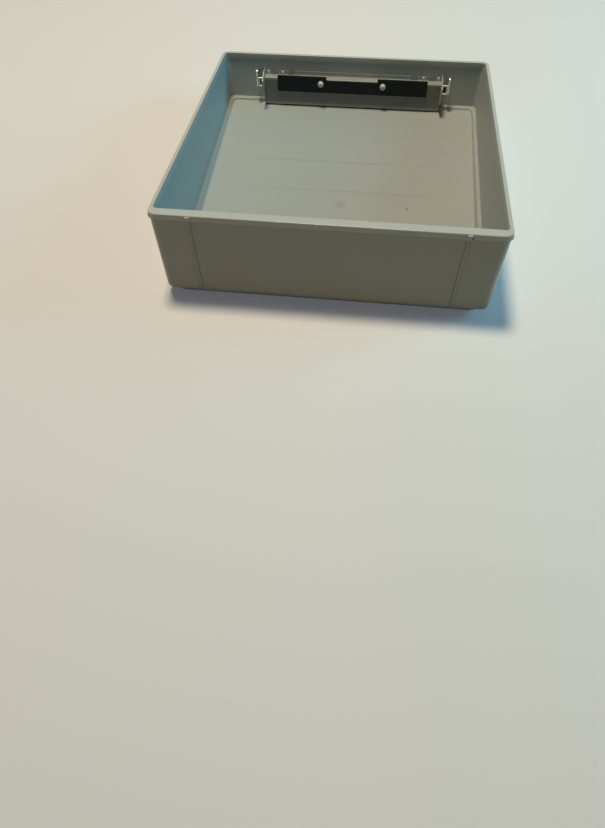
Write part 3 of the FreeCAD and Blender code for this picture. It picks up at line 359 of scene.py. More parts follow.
def edit_all(piece: bpy.types.Object) -> None:
    """Open a piece in edit mode with all of it selected.

    Args:
        piece: What to edit.
    """
    take(piece)
    bpy.ops.object.mode_set(mode="EDIT")
    bpy.ops.mesh.select_all(action="SELECT")


def close_edit() -> None:
    """Turn every face outwards and leave edit mode."""
    bpy.ops.mesh.select_all(action="SELECT")
    bpy.ops.mesh.normals_make_consistent(inside=False)
    bpy.ops.object.mode_set(mode="OBJECT")


def modify(piece: bpy.types.Object, kind: str, **settings: object) -> None:
    """Add a modifier to a piece and apply it.

    Args:
        piece: What to change.
        kind: Blender's name of the modifier's type.
        settings: The modifier's properties.
    """
    take(piece)
    change = piece.modifiers.new(kind.lower(), kind)
    for name, value in settings.items():
        setattr(change, name, value)
    bpy.ops.object.modifier_apply(modifier=change.name)


@dataclass(frozen=True)
class Station:
    """One section of a piece that is drawn out along Z, against the section that it started from."""

    along: float
    width: float = 1.0
    height: float = 1.0


def draw_out(piece: bpy.types.Object, stations: list[Station]) -> None:
    """Extrude a flat section through its stations into a closed solid.

    Args:
        piece: A flat face that lies at the first station.
        stations: The sections, in order along Z.
    """
    edit_all(piece)
    for before, after in zip(stations, stations[1:]):
        step = (0.0, 0.0, after.along - before.along)
        bpy.ops.mesh.extrude_region_move(TRANSFORM_OT_translate={"value": step})
        growth = (after.width / before.width, after.height / before.height, 1.0)
        bpy.ops.transform.resize(value=growth, center_override=(0.0, 0.0, after.along))
    close_edit()


def stand(piece: bpy.types.Object, foot: Vector, direction: Vector) -> None:
    """Put a piece that was modelled along Z in its place, and fix that place in its mesh.

    Args:
        piece: The piece.
        foot: Where its origin goes.
        direction: Where its Z axis points.
    """
    piece.location = foot
    piece.rotation_euler = direction.to_track_quat("Z", "Y").to_euler()
    take(piece)
    bpy.ops.object.transform_apply(location=True, rotation=True, scale=True)


def soften(piece: bpy.types.Object, width: float, angle: float = 30.0, segments: int = 2) -> None:
    """Round the sharp edges of a piece and shade it smooth.

    Args:
        piece: What to round.
        width: Width of the rounding.
        angle: The least angle between two faces that counts as sharp, in degrees.
        segments: Faces across a rounding.
    """
    sharp = math.radians(angle)
    modify(piece, "BEVEL", width=width, segments=segments, limit_method="ANGLE", angle_limit=sharp)
    take(piece)
    bpy.ops.object.shade_smooth_by_angle(angle=sharp)


def finish(
    piece: bpy.types.Object, name: str, body: str, slot: str, material: bpy.types.Material, *nodes: str
) -> None:
    """Name a finished piece, give it its material and tie it to the frame.

    Args:
        piece: The piece.
        name: Its name.
        body: The body that it rides on.
        slot: The record's material slot; not used.
        material: Its finish.
        nodes: The nodes of the frame that it stands for.
    """
    piece.name = name
    piece.data.materials.clear()
    piece.data.materials.append(material)
    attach(piece, body)
    if nodes:
        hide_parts(*nodes)
    log.info("built %s: %d faces in %s", name, len(piece.data.polygons), material.name)


# --- turned pieces -------------------------------------------------------------------------------


@dataclass(frozen=True)
class Turning:
    """A turned solid of the frame, measured along its axis from its plain end to its head."""

    FULL_WIDTH: ClassVar[float] = 0.98  # share of the head's radius past which a corner is on its rim
    END_DEPTH: ClassVar[float] = 0.02 * MM  # how near the plain end a corner is part of it

    foot: Vector
    axis: Vector
    length: float
    shank: float
    head: float
    head_height: float

    @classmethod
    def measured(cls, points: list[Vector], axis: Vector) -> "Turning":
        """Measure one turned solid.

        Args:
            points: The corners of its mesh.
            axis: A line along it, either way.

        Returns:
            Its sizes, with the axis pointing to its head.
        """
        across = Vector((1.0, 0.0, 0.0))
        upright = axis.cross(across)
        middle = Vector()
        for line in (across, upright):
            places = [point.dot(line) for point in points]
            middle += line * (min(places) + max(places)) / 2
        reach = [((point - middle) - axis * point.dot(axis)).length for point in points]
        along = [point.dot(axis) for point in points]
        head = max(reach)
        wide = [place for place, radius in zip(along, reach) if radius > cls.FULL_WIDTH * head]
        if sum(wide) / len(wide) < (min(along) + max(along)) / 2:
            return cls.measured(points, -axis)
        foot = min(along)
        shank = max(radius for place, radius in zip(along, reach) if place < foot + cls.END_DEPTH)
        height = max(along) - min(wide)
        return cls(middle + axis * foot, axis, max(along) - foot, shank, head, height)


def solids_of(node: str) -> list[list[Vector]]:
    """Return the corners of each separate solid of a node.

    Args:
        node: The node's name.

    Returns:
        One list of corners for each solid, from low X to high X.
    """
    copy = frame["nodes"][node].copy()
    copy.data = copy.data.copy()
    bpy.context.scene.collection.objects.link(copy)
    edit_all(copy)
    bpy.ops.mesh.remove_doubles(threshold=SAME_CORNER)
    bpy.ops.mesh.separate(type="LOOSE")
    bpy.ops.object.mode_set(mode="OBJECT")
    parts = list(bpy.context.selected_objects)
    solids = [[vertex.co.copy() for vertex in part.data.vertices] for part in parts]
    for part in parts:
        bpy.data.objects.remove(part)
    return sorted(solids, key=lambda points: min(point.x for point in points))


@dataclass(frozen=True)
class Fasteners:
    """The screws or rivets of one node, remade with rounded heads."""

    node: str
    slot: str
    drive: Drive
    rim_share: float = 0.35  # how much of the head's height is its upright rim
    chamfer: float = 0.35 * MM
    slot_width: float = 1.0 * MM
    slot_depth: float = 1.1 * MM
    sides: int = 40
    dome_rings: int = 7
    dome_turn: float = 86.0  # degrees from the rim to the top ring
    edge_round: float = 0.06 * MM
    edge_angle: float = 35.0

    def stations(self, size: Turning) -> list[Station]:
        """Return the sections of one fastener, as shares of its shank's radius.

        Args:
            size: The solid that it stands for.

        Returns:
            The sections from its plain end to the top of its dome.
        """
        tip = (size.shank - self.chamfer) / size.shank
        wide = size.head / size.shank
        seat = size.length - size.head_height
        rim = size.head_height * self.rim_share
        crown = size.head_height - rim
        stations = [Station(0.0, tip, tip), Station(self.chamfer), Station(seat), Station(seat, wide, wide)]
        for ring in range(self.dome_rings + 1):
            turn = math.radians(self.dome_turn * ring / self.dome_rings)
            share = wide * math.cos(turn)
            stations.append(Station(seat + rim + crown * math.sin(turn), share, share))
        return stations

    def cut_slot(self, piece: bpy.types.Object, size: Turning) -> None:
        """Cut a driver slot across a head.

        Args:
            piece: The fastener, along Z.
            size: The solid that it stands for.
        """
        place = (0.0, 0.0, size.length)
        bpy.ops.mesh.primitive_cube_add(size=1.0, location=place)
        cutter = bpy.context.object
        cutter.scale = (4 * size.head, self.slot_width, 2 * self.slot_depth)
        modify(piece, "BOOLEAN", object=cutter, operation="DIFFERENCE", solver="EXACT")
        bpy.data.objects.remove(cutter)

    def build(self, axis: Vector, body: str, material: bpy.types.Material) -> None:
        """Model every fastener of the node.

        Args:
            axis: The line that they lie along.
            body: The body that they ride on.
            material: Their finish.
        """
        made = []
        for points in solids_of(self.node):
            size = Turning.measured(points, axis)
            stations = self.stations(size)
            radius = size.shank * stations[0].width
            bpy.ops.mesh.primitive_circle_add(vertices=self.sides, radius=radius, fill_type="NGON")
            piece = bpy.context.object
            draw_out(piece, stations)
            if self.drive is Drive.SLOT:
                self.cut_slot(piece, size)
            stand(piece, size.foot, size.axis)
            made.append(piece)
        take(*made)
        bpy.ops.object.join()
        soften(made[0], self.edge_round, angle=self.edge_angle)
        finish(made[0], f"{self.node}_domed", body, self.slot, material, self.node)


# --- finishes ------------------------------------------------------------------------------------

REFRACTION = 1.5  # of plastics and enamels


@dataclass(frozen=True)
class Blotches:
    """Blotches of a noise, spread so that a low value becomes 0 and a high one their strength."""

    size: float
    detail: float
    low: float
    high: float
    strength: float = 1.0

    def mask(self, mix: Recipe, where: Socket | None = None) -> Socket:
        """Return a mask, the blotches' strength on a blotch and 0 between them."""
        spread = mix.steps(mix.noise(self.size, self.detail, where), self.low, self.high)
        return mix.maths("MULTIPLY", spread, self.strength)


@dataclass(frozen=True)
class Grime:
    """Darkening where a surface is shut in by others: on plastic it is dirt and painted shade, on plating it
    is tarnish.
    """

    reach: float
    low: float
    high: float
    strength: float

    def mask(self, mix: Recipe) -> Socket:
        """Return a mask, the darkening's strength in a corner and 0 in the open."""
        shut_in = mix.steps(mix.corners(self.reach), self.low, self.high)
        return mix.maths("MULTIPLY", shut_in, self.strength)


@dataclass(frozen=True)
class Mark:
    """A smudge, speck, chip or patch of painted shadow at one place of a piece."""

    middle: Vector
    size: Triple
    colour: Colour
    strength: float = 1.0
    soft: float = 0.6

    def mask(self, mix: Recipe) -> Socket:
        """Return a mask, the mark's strength on the mark and 0 round it."""
        return mix.maths("MULTIPLY", mix.spot(self.middle, self.size, self.soft), self.strength)


@dataclass(frozen=True)
class Rim:
    """A sloping rim painted paler: partly rubbed pale by hands, partly painted light on the lip."""

    fall: float  # how much it falls for each metre along Y
    foot: float  # height of its lower edge at Y zero
    strength: float
    fade: float = 0.5 * MM

    def mask(self, mix: Recipe) -> Socket:
        """Return how much paler the rim is painted, for rub and for light.

        Args:
            mix: The recipe that it belongs to.

        Returns:
            A mask, the rim's strength on the rim and 0 below it.
        """
        _, along, up = mix.axes()
        level = mix.maths("ADD", up, mix.maths("MULTIPLY", along, self.fall))
        return mix.maths("MULTIPLY", mix.steps(level, self.foot, self.foot + self.fade), self.strength)


@dataclass(frozen=True)
class MouldedPlastic:
    """A moulded plastic with a fine eroded grain, dust and painted shade in its corners, and rubbed edges.
    """

    name: str
    colour: Colour
    aged: Colour
    # colour of dirt, also used for the painted shade in corners, seams and crevices
    dirt: Colour
    # colour of rubbed edges and scuffs, also used for the painted light on the rim
    rubbed: Colour
    gloss: float = 0.42
    gloss_spread: tuple[float, float] = (-0.03, 0.05)
    gloss_patch: float = 24 * MM
    grain: float = 0.6 * MM
    grain_depth: float = 0.04 * MM
    grain_strength: float = 0.35
    near_edge: float | None = None  # the place along Y before which hands and dirt were the most
    near_fade: float = 4.0 * MM
    polish: float = 0.0  # weight of the thin shine left by handling
    polish_roughness: float = 0.12
    shine: float = 0.25  # how strongly the plastic itself mirrors, 0.5 for a smooth one
    wear: Wear = Wear.HANDLED
    marks: tuple[Mark, ...] = ()
    rim: Rim | None = None
    clouds: Blotches = Blotches(70 * MM, 3.0, 0.38, 0.64, 0.35)
    flecks: Blotches = Blotches(1.6 * MM, 3.0, 0.52, 0.74, 0.14)
    wiping: Blotches = Blotches(13 * MM, 3.0, 0.56, 0.76, 0.12)
    wiping_stretch: Triple = (0.06, 1.0, 0.06)
    # darkening in corners, beside beads and in crevices: dirt and painted shade
    grime: Grime = Grime(13 * MM, 0.30, 0.80, 1.0)
    grime_patches: Blotches = Blotches(12 * MM, 4.0, 0.35, 0.65)
    grime_range: tuple[float, float] = (0.40, 0.85)
    seams: Grime = Grime(1.8 * MM, 0.14, 0.42, 0.50)
    packed: Grime = Grime(2.6 * MM, 0.08, 0.26, 0.70)  # only before the near edge
    rub_width: float = 0.7 * MM
    rubbing: Blotches = Blotches(5 * MM, 4.0, 0.42, 0.58, 0.7)
    scuff_turns: tuple[tuple[float, float], ...] = ((12.0, 0.06), (74.0, 0.09), (-38.0, 0.05))
    scuff_lines: Blotches = Blotches(0.9 * MM, 1.0, 0.70, 0.74)
    scuff_fields: Blotches = Blotches(45 * MM, 1.0, 0.52, 0.60)
    scuff_share: float = 0.3
    scuff_dulling: float = 0.12

    def material(self) -> bpy.types.Material:
        """Return the finish as a material.

        Returns:
            A new material.
        """
        mix = Recipe(self.name)
        use = self.wear.value
        ground = mix.blend(self.clouds.mask(mix), self.colour, self.aged)
        ground = self.dusted(mix, ground, use)
        rub = mix.maths("MULTIPLY", mix.edges(self.rub_width), self.rubbing.mask(mix))
        ground = mix.blend(mix.maths("MULTIPLY", rub, use), ground, self.rubbed)
        # the rim is painted paler: partly rubbed by hands, partly painted light on the lip
        if self.rim is not None:
            ground = mix.blend(self.rim.mask(mix), ground, self.rubbed)
        scuffs = self.scuffs(mix)
        ground = mix.blend(mix.maths("MULTIPLY", scuffs, self.scuff_share * use), ground, self.rubbed)
        for mark in self.marks:
            ground = mix.blend(mark.mask(mix), ground, mark.colour)
        low, high = (self.gloss + change for change in self.gloss_spread)
        gloss = mix.level(mix.noise(self.gloss_patch, detail=3.0), low, high)
        gloss = mix.maths("ADD", gloss, mix.maths("MULTIPLY", scuffs, self.scuff_dulling))
        mix.set(Base_Color=ground, Roughness=gloss, IOR=REFRACTION, Specular_IOR_Level=self.shine)
        if self.near_edge is not None:
            coat = mix.maths("MULTIPLY", self.handled(mix), self.polish)
            mix.set(Coat_Weight=coat, Coat_Roughness=self.polish_roughness)
        mix.bump(mix.noise(self.grain), self.grain_depth, self.grain_strength)
        return mix.material

    def dusted(self, mix: Recipe, ground: Socket, use: float) -> Socket:
        """Return a colour with flecks, wiping streaks, and dirt with painted shade in corners, seams and
        crevices.

        Args:
            mix: The recipe that it belongs to.
            ground: The clean colour.
            use: How worn the finish is.

        Returns:
            The dirtied colour.
        """
        wiped = self.wiping.mask(mix, mix.stretched(self.wiping_stretch))
        patchy = mix.level(self.grime_patches.mask(mix), *self.grime_range)
        grime = mix.maths("MULTIPLY", self.grime.mask(mix), patchy)
        masks = [self.flecks.mask(mix), wiped, grime, self.seams.mask(mix)]
        if self.near_edge is not None:
            masks.append(mix.maths("MULTIPLY", self.packed.mask(mix), self.handled(mix)))
        # the corner, seam and crevice masks darken with dirt and painted shade
        for mask in masks:
            ground = mix.blend(mix.maths("MULTIPLY", mask, use), ground, self.dirt)
        return ground

    def handled(self, mix: Recipe) -> Socket:
        """Return where the finish was handled the most: 1 before the near edge."""
        return mix.steps(mix.axes()[1], self.near_edge, self.near_edge - self.near_fade)

    def scuffs(self, mix: Recipe) -> Socket:
        """Return thin scuff marks in a few directions.

        Args:
            mix: The recipe that they belong to.

        Returns:
            A mask, 1 on a mark.
        """
        marks: Socket | None = None
        for turn, along in self.scuff_turns:
            lines = self.scuff_lines.mask(mix, mix.stretched((1.0, along, along), turn))
            fields = self.scuff_fields.mask(mix, mix.stretched((1.0, 1.0, 1.0), turn))
            mark = mix.maths("MULTIPLY", lines, fields)
            marks = mark if marks is None else mix.maths("MAXIMUM", marks, mark)
        return marks


@dataclass(frozen=True)
class Film:
    """Painted shade: a dark band on what lies between two heights, and between two places along X."""

    top: float
    foot: float
    half_length: float
    colour: Colour
    strength: float
    top_fade: float = 2.0 * MM
    foot_fade: float = 3.0 * MM
    end_fade: float = 0.2 * MM
    raggedness: float = 1.2 * MM  # how far the top edge strays up and down
    ragged_size: float = 9 * MM
    patch_size: float = 14 * MM
    patch_range: tuple[float, float] = (0.8, 1.1)  # shares of its strength

    def mask(self, mix: Recipe) -> Socket:
        """Return where the painted shade lies.

        Args:
            mix: The recipe that it belongs to.

        Returns:
            A mask, about the shade's strength where the band is whole.
        """
        across, _, up = mix.axes()
        ragged = mix.level(mix.noise(self.ragged_size, detail=3.0), -self.raggedness, self.raggedness)
        below = mix.steps(mix.maths("ADD", up, ragged), self.top, self.top - self.top_fade)
        above = mix.steps(up, self.foot, self.foot + self.foot_fade)
        away = mix.maths("ABSOLUTE", across)
        inside = mix.steps(away, self.half_length, self.half_length - self.end_fade)
        low, high = (share * self.strength for share in self.patch_range)
        patchy = mix.level(mix.noise(self.patch_size, detail=4.0), low, high)
        band = mix.maths("MULTIPLY", below, above)
        return mix.maths("MULTIPLY", mix.maths("MULTIPLY", band, inside), patchy)


@dataclass(frozen=True)
class Enamel:
    """Stoved enamel on steel: a little orange peel, and bare metal on the most rubbed edges."""

    name: str
    colour: Colour
    faded: Colour
    dust: Colour = (0.34, 0.33, 0.29)
    metal: Colour = (0.62, 0.61, 0.57)
    gloss: float = 0.34
    gloss_spread: tuple[float, float] = (-0.05, 0.10)
    gloss_patch: float = 7 * MM
    shine: float = 0.5  # how strongly it mirrors, 0.5 for ordinary enamel
    film: Film | None = None
    wear: Wear = Wear.HANDLED
    clouds: Blotches = Blotches(18 * MM, 4.0, 0.38, 0.64, 0.7)
    dusting: Blotches = Blotches(0.8 * MM, 3.0, 0.56, 0.74, 0.10)
    chip_width: float = 0.35 * MM
    chipping: Blotches = Blotches(2.2 * MM, 4.0, 0.48, 0.56)
    bareness: float = 0.9  # how metallic a bare edge is
    peel: float = 1.1 * MM
    peel_depth: float = 0.03 * MM
    peel_strength: float = 0.5

    def material(self) -> bpy.types.Material:
        """Return the finish as a material.

        Returns:
            A new material.
        """
        mix = Recipe(self.name)
        ground = mix.blend(self.clouds.mask(mix), self.colour, self.faded)
        # painted shade darkens the face of the bracket
        if self.film:
            ground = mix.blend(self.film.mask(mix), ground, self.film.colour)
        ground = mix.blend(self.dusting.mask(mix), ground, self.dust)
        bare = mix.maths("MULTIPLY", mix.edges(self.chip_width), self.chipping.mask(mix))
        bare = mix.maths("MULTIPLY", bare, self.wear.value)
        low, high = (self.gloss + change for change in self.gloss_spread)
        mix.set(
            Base_Color=mix.blend(bare, ground, self.metal),
            Metallic=mix.maths("MULTIPLY", bare, self.bareness),
            Roughness=mix.level(mix.noise(self.gloss_patch, detail=3.0), low, high),
            IOR=REFRACTION,
            Specular_IOR_Level=self.shine,
        )
        mix.bump(mix.noise(self.peel), self.peel_depth, self.peel_strength)
        return mix.material


@dataclass(frozen=True)
class Plating:
    """Bright plated metal: faint brush lines, tarnished patches and small pits."""

    name: str
    colour: Colour
    tarnish: Colour
    gloss: float = 0.16
    brushed: float = 0.4
    rounding: float = 0.0  # radius to which sharp edges are polished
    wear: Wear = Wear.HANDLED
    patches: Blotches = Blotches(4 * MM, 5.0, 0.44, 0.66)
    patch_share: float = 0.6
    patch_dulling: float = 0.16
    grime: Grime = Grime(3 * MM, 0.35, 0.9, 0.7)
    pit: Colour = (0.10, 0.08, 0.06)
    pit_spacing: float = 1.3 * MM
    pit_reach: tuple[float, float] = (0.16, 0.08)  # its rim and its full depth, as shares of that
    pit_share: float = 0.5
    pit_dulling: float = 0.3
    line_size: float = 0.25 * MM
    line_stretch: Triple = (0.04, 1.0, 1.0)
    line_depth: float = 0.02 * MM

    def material(self) -> bpy.types.Material:
        """Return the finish as a material.

        Returns:
            A new material.
        """
        mix = Recipe(self.name)
        use = self.wear.value
        patches = self.patches.mask(mix)
        pits = mix.steps(mix.cells(self.pit_spacing), *self.pit_reach)
        tarnished = mix.maths("MULTIPLY", patches, self.patch_share * use)
        ground = mix.blend(tarnished, self.colour, self.tarnish)
        ground = mix.blend(mix.maths("MULTIPLY", self.grime.mask(mix), use), ground, self.tarnish)
        ground = mix.blend(mix.maths("MULTIPLY", pits, self.pit_share * use), ground, self.pit)
        gloss = mix.maths("ADD", mix.maths("MULTIPLY", patches, self.patch_dulling), self.gloss)
        gloss = mix.maths("ADD", gloss, mix.maths("MULTIPLY", pits, self.pit_dulling))
        mix.set(Base_Color=ground, Metallic=1.0, Roughness=gloss)
        lines = mix.noise(self.line_size, where=mix.stretched(self.line_stretch))
        mix.bump(lines, self.line_depth, self.brushed, self.rounding)
        return mix.material


# --- the object ----------------------------------------------------------------------------------


def dress(material: bpy.types.Material, *nodes: str) -> None:
    """Give nodes of the frame their material.

    Args:
        material: The finish.
        nodes: The nodes' names.
    """
    for node in nodes:
        piece = frame["nodes"][node]
        piece.data.materials.clear()
        piece.data.materials.append(material)
        log.info("dressed %s in %s", node, material.name)


def rim_slope() -> float:
    """Return how far the rim slopes from the panel that the case lies on."""
    rim = next(mount for mount in frame["record"]["mounts"] if mount["name"] == "rim_face")
    return math.atan2(rim["axis"][1], rim["axis"][2])


def through_wall(tall: bool) -> Vector:
    """Return the line that runs square through the tall or the low wall, towards +Y."""
    lean = rim_slope() + (-DRAFT if tall else DRAFT)
    return Vector((0.0, math.cos(lean), -math.sin(lean)))


SMEAR = (0.20, 0.19, 0.15)
# near-black colours of painted shadow on the low wall behind the bolts' windows
GREASE = (0.008, 0.008, 0.007)
OLD_GREASE = (0.050, 0.036, 0.022)


@dataclass
class CoverShell:
    """The moulded cover."""

    finish: MouldedPlastic = field(default_factory=lambda: MouldedPlastic(
        name="shell_plastic",
        colour=(0.425, 0.455, 0.440),
        aged=(0.445, 0.455, 0.400),
        dirt=(0.150, 0.140, 0.105),
        rubbed=(0.600, 0.620, 0.590),
        near_edge=-0.148,
        polish=0.35,
        marks=(
            Mark(Vector((0.1212, -0.1586, 0.0877)), (0.0012, 0.003, 0.0011), (0.03, 0.03, 0.03), 0.95),
            Mark(Vector((0.0026, -0.0230, 0.003)), (0.009, 0.007, 0.009), SMEAR, 0.30, 0.9),
            # the next two marks are painted shadow, seen through the bolts' windows
            Mark(Vector((0.10945, 0.1651, 0.0225)), (0.0027, 0.0036, 0.0072), GREASE, 0.97, 0.4),
            Mark(Vector((-0.1101, 0.1651, 0.0225)), (0.0027, 0.0036, 0.0072), OLD_GREASE, 0.85, 0.4),
            Mark(Vector((-0.0100, 0.0480, 0.003)), (0.140, 0.0028, 0.009), SMEAR, 0.20, 0.9),
            Mark(Vector((0.0120, -0.0018, 0.003)), (0.140, 0.0034, 0.009), SMEAR, 0.17, 0.9),
            Mark(Vector((0.0736, -0.0244, 0.003)), (0.0015, 0.0017, 0.009), (0.05, 0.05, 0.04), 0.8),
        ),
        # rim painted paler: partly rubbed, partly painted light on the lip
        rim=Rim(fall=0.1155, foot=0.0668, strength=0.5),
    ))

    def build(self) -> None:
        """Finish the shell."""
        dress(self.finish.material(), "cover_shell")


@dataclass
class LatchBracket:
    """The folded bracket, its end plates, its cover plate and what fastens them."""

    enamel: Enamel = Enamel(
        "bracket_paint", (0.340, 0.350, 0.325), (0.390, 0.390, 0.345), wear=Wear.WORN,
        # painted shade on the bracket's face, with its lowest strip left lighter
        film=Film(0.0328, 0.0052, 0.1039, (0.115, 0.125, 0.110), 0.85),
    )
    black: Enamel = Enamel("plate_paint", (0.004, 0.006, 0.008), (0.009, 0.011, 0.013), gloss=0.4, shine=0.2)
    steel: Plating = Plating("screw_steel", (0.40, 0.40, 0.39), (0.26, 0.24, 0.21), gloss=0.62)
    plain: Plating = Plating("rivet_steel", (0.52, 0.51, 0.48), (0.28, 0.25, 0.20), gloss=0.34)

    def build(self) -> None:
        """Finish the fixed pieces of the latch and model its screws and rivets."""
        end_plates = (f"end_plate_{side.word}" for side in Side)
        dress(self.enamel.material(), "latch_bracket", *end_plates, "end_plate_rivets")
        dress(self.black.material(), "cover_plate")
        steel = self.steel.material()
        plain = self.plain.material()
        dress(plain, "spacer_sleeves", "guide_rivets", "pivot_washers")
        dress(steel, "button_screw_left", "button_screw_right")
        out = through_wall(tall=False)
        long_screws = Fasteners("cover_plate_screws", "screw_steel", Drive.SLOT)
        long_screws.build(out, "cover", steel)
        Fasteners("bracket_rivets", "rivet_steel", Drive.CLOSED).build(out, "cover", plain)


@dataclass(frozen=True)
class CoilSpring:
    """A compression spring along Z whose last turn at each end is closed."""

    length: float
    radius: float  # to the middle of the wire
    wire: float = 0.7 * MM
    open_turns: int = 6
    wire_sides: int = 10
    steps: int = 32
    closed_pitch: float = 1.04  # of the wire's thickness
    joint_gap: float = 0.02 * MM  # how far apart two stretches of the wire may meet
    smooth_angle: float = 50.0

    def coil(self, start: float, pitch: float, turns: int) -> bpy.types.Object:
        """Return one stretch of the wire.

        Args:
            start: Where along Z its first turn begins.
            pitch: Rise of each turn.
            turns: How many turns it has.

        Returns:
            A tube, open at both ends.
        """
        bpy.ops.mesh.primitive_circle_add(
            vertices=self.wire_sides, radius=self.wire / 2,
            location=(self.radius, 0.0, start), rotation=(math.pi / 2, 0.0, 0.0),
        )
        piece = bpy.context.object
        take(piece)
        bpy.ops.object.transform_apply(location=True, rotation=True, scale=True)
        modify(
            piece, "SCREW", axis="Z", angle=math.tau, screw_offset=pitch, iterations=turns,
            steps=self.steps, render_steps=self.steps,
        )
        return piece

    def build(self) -> bpy.types.Object:
        """Wind the spring.

        Returns:
            The spring, with its first end at the origin.
        """
        closed = self.wire * self.closed_pitch
        first = self.wire / 2
        pitch = (self.length - self.wire - 2 * closed) / self.open_turns
        last = self.length - self.wire / 2 - closed
        stretches = [
            self.coil(first, closed, 1),
            self.coil(first + closed, pitch, self.open_turns),
            self.coil(last, closed, 1),
        ]
        take(*stretches)
        bpy.ops.object.join()
        spring = stretches[0]
        edit_all(spring)
        bpy.ops.mesh.remove_doubles(threshold=self.joint_gap)
        bpy.ops.mesh.fill_holes(sides=0)
        close_edit()
        take(spring)
        bpy.ops.object.shade_smooth_by_angle(angle=math.radians(self.smooth_angle))
        return spring


@dataclass
class LatchBolts:
    """The two sprung bolts with their finger buttons."""

    nickel: Plating = Plating(
        "bolt_nickel", (0.93, 0.91, 0.87), (0.42, 0.37, 0.30), gloss=0.24, rounding=0.9 * MM
    )
    button: Plating = Plating("button_nickel", (0.78, 0.76, 0.72), (0.46, 0.42, 0.34), gloss=0.14)
    wire: Plating = Plating("spring_wire", (0.40, 0.40, 0.41), (0.18, 0.16, 0.13), gloss=0.28)

    def build(self) -> None:
        """Finish the bolts and buttons and wind the springs."""
        nickel, button, wire = (finish.material() for finish in (self.nickel, self.button, self.wire))
        for side in Side:
            dress(nickel, f"latch_bolt_{side.word}")
            dress(button, f"finger_button_{side.word}")
            self.wind(side, wire)

    def wind(self, side: Side, wire: bpy.types.Material) -> None:
        """Put a spring between the bracket's lug and a bolt.

        Args:
            side: Which bolt it pushes.
            wire: Its finish.
        """
        node = f"latch_spring_{side.word}"
        low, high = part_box(node)
        length = high[0] - low[0]
        thickness = CoilSpring.wire
        spring = CoilSpring(length, (high[2] - low[2] - thickness) / 2).build()
        lug_end = low[0] if side is Side.RIGHT else high[0]
        foot = Vector((lug_end, (low[1] + high[1]) / 2, (low[2] + high[2]) / 2))
        stand(spring, foot, Vector((side.value, 0.0, 0.0)))
        finish(spring, f"{node}_wound", "cover", "spring_steel", wire, node)
        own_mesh(spring)


@dataclass(frozen=True)
class GripShape:
    """A moulded grip with a collar at each end, a belly and a row of shallow grooves."""

    corner: float = 3.4 * MM
    collar: float = 4.0 * MM
    end_round: float = 0.8 * MM
    waist: float = 0.86
    grooves: int = 13
    groove_pitch: float = 4.4 * MM
    groove_half: float = 0.75 * MM
    groove_depth: float = 0.055  # as a share of the collars
    groove_profile: tuple[tuple[float, float], ...] = ((-1.0, 0.0), (-0.4, 1.0), (0.4, 1.0), (1.0, 0.0))
    end_share: float = 0.93  # size of the ends, as a share of the collars
    corner_segments: int = 8

    def swell(self, place: float, length: float) -> float:
        """Return the body's size at a distance from one end, as a share of the collars."""
        share = (place - self.collar) / (length - 2 * self.collar)
        return self.waist + (1.0 - self.waist) * math.sin(math.pi * share)

    def stations(self, length: float) -> list[Station]:
        """Return the sections of the grip.

        Args:
            length: Length of the grip.

        Returns:
            The sections from one end to the other.
        """
        start = [(0.0, self.end_share), (self.end_round, 1.0), (self.collar, 1.0), (self.collar, self.waist)]
        plan = list(start)
        first = length / 2 - (self.grooves - 1) / 2 * self.groove_pitch
        for groove in range(self.grooves):
            middle = first + groove * self.groove_pitch
            for shift, depth in self.groove_profile:
                place = middle + shift * self.groove_half
                plan.append((place, self.swell(place, length) - depth * self.groove_depth))
        plan += [(length - place, size) for place, size in reversed(start)]
        return [Station(place, size, size) for place, size in plan]

    def build(self, width: float, height: float, length: float) -> bpy.types.Object:
        """Return the grip along Z from the origin.

        Args:
            width: Its size along X.
            height: Its size along Y.
            length: Its size along Z.

        Returns:
            The grip.
        """
        stations = self.stations(length)
        bpy.ops.mesh.primitive_plane_add(size=1.0)
        grip = bpy.context.object
        grip.scale = (width * stations[0].width, height * stations[0].height, 1.0)
        take(grip)
        bpy.ops.object.transform_apply(location=True, rotation=True, scale=True)
        edit_all(grip)
        bpy.ops.mesh.bevel(offset=self.corner, segments=self.corner_segments, affect="VERTICES")
        draw_out(grip, stations)
        return grip


@dataclass
class CarryingHandle:
    """The handle base outside the low wall, with the bail and its grip."""

    black: MouldedPlastic = MouldedPlastic(
        name="handle_plastic",
        colour=(0.018, 0.018, 0.019),
        aged=(0.030, 0.029, 0.028),
        dirt=(0.060, 0.055, 0.048),
        rubbed=(0.090, 0.090, 0.088),
        gloss=0.42,
        grain=0.8 * MM,
        grain_depth=0.12 * MM,
    )
    nickel: Plating = Plating("bail_nickel", (0.72, 0.70, 0.65), (0.36, 0.32, 0.26), gloss=0.16)
    shape: GripShape = GripShape()
    edge_round: float = 0.25 * MM
    edge_angle: float = 20.0

    def build(self) -> None:
        """Finish the base and the bail, and model the grip."""
        black = self.black.material()
        dress(black, "handle_base")
        dress(self.nickel.material(), "handle_bail", "pivot_pins")
        low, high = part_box("handle_grip")
        size = [top - bottom for bottom, top in zip(low, high)]
        grip = self.shape.build(size[1], size[2], size[0])
        foot = Vector((low[0], (low[1] + high[1]) / 2, (low[2] + high[2]) / 2))
        stand(grip, foot, Vector((1.0, 0.0, 0.0)))
        soften(grip, self.edge_round, angle=self.edge_angle)
        finish(grip, "grip_moulding", "handle", "handle_plastic", black, "handle_grip")


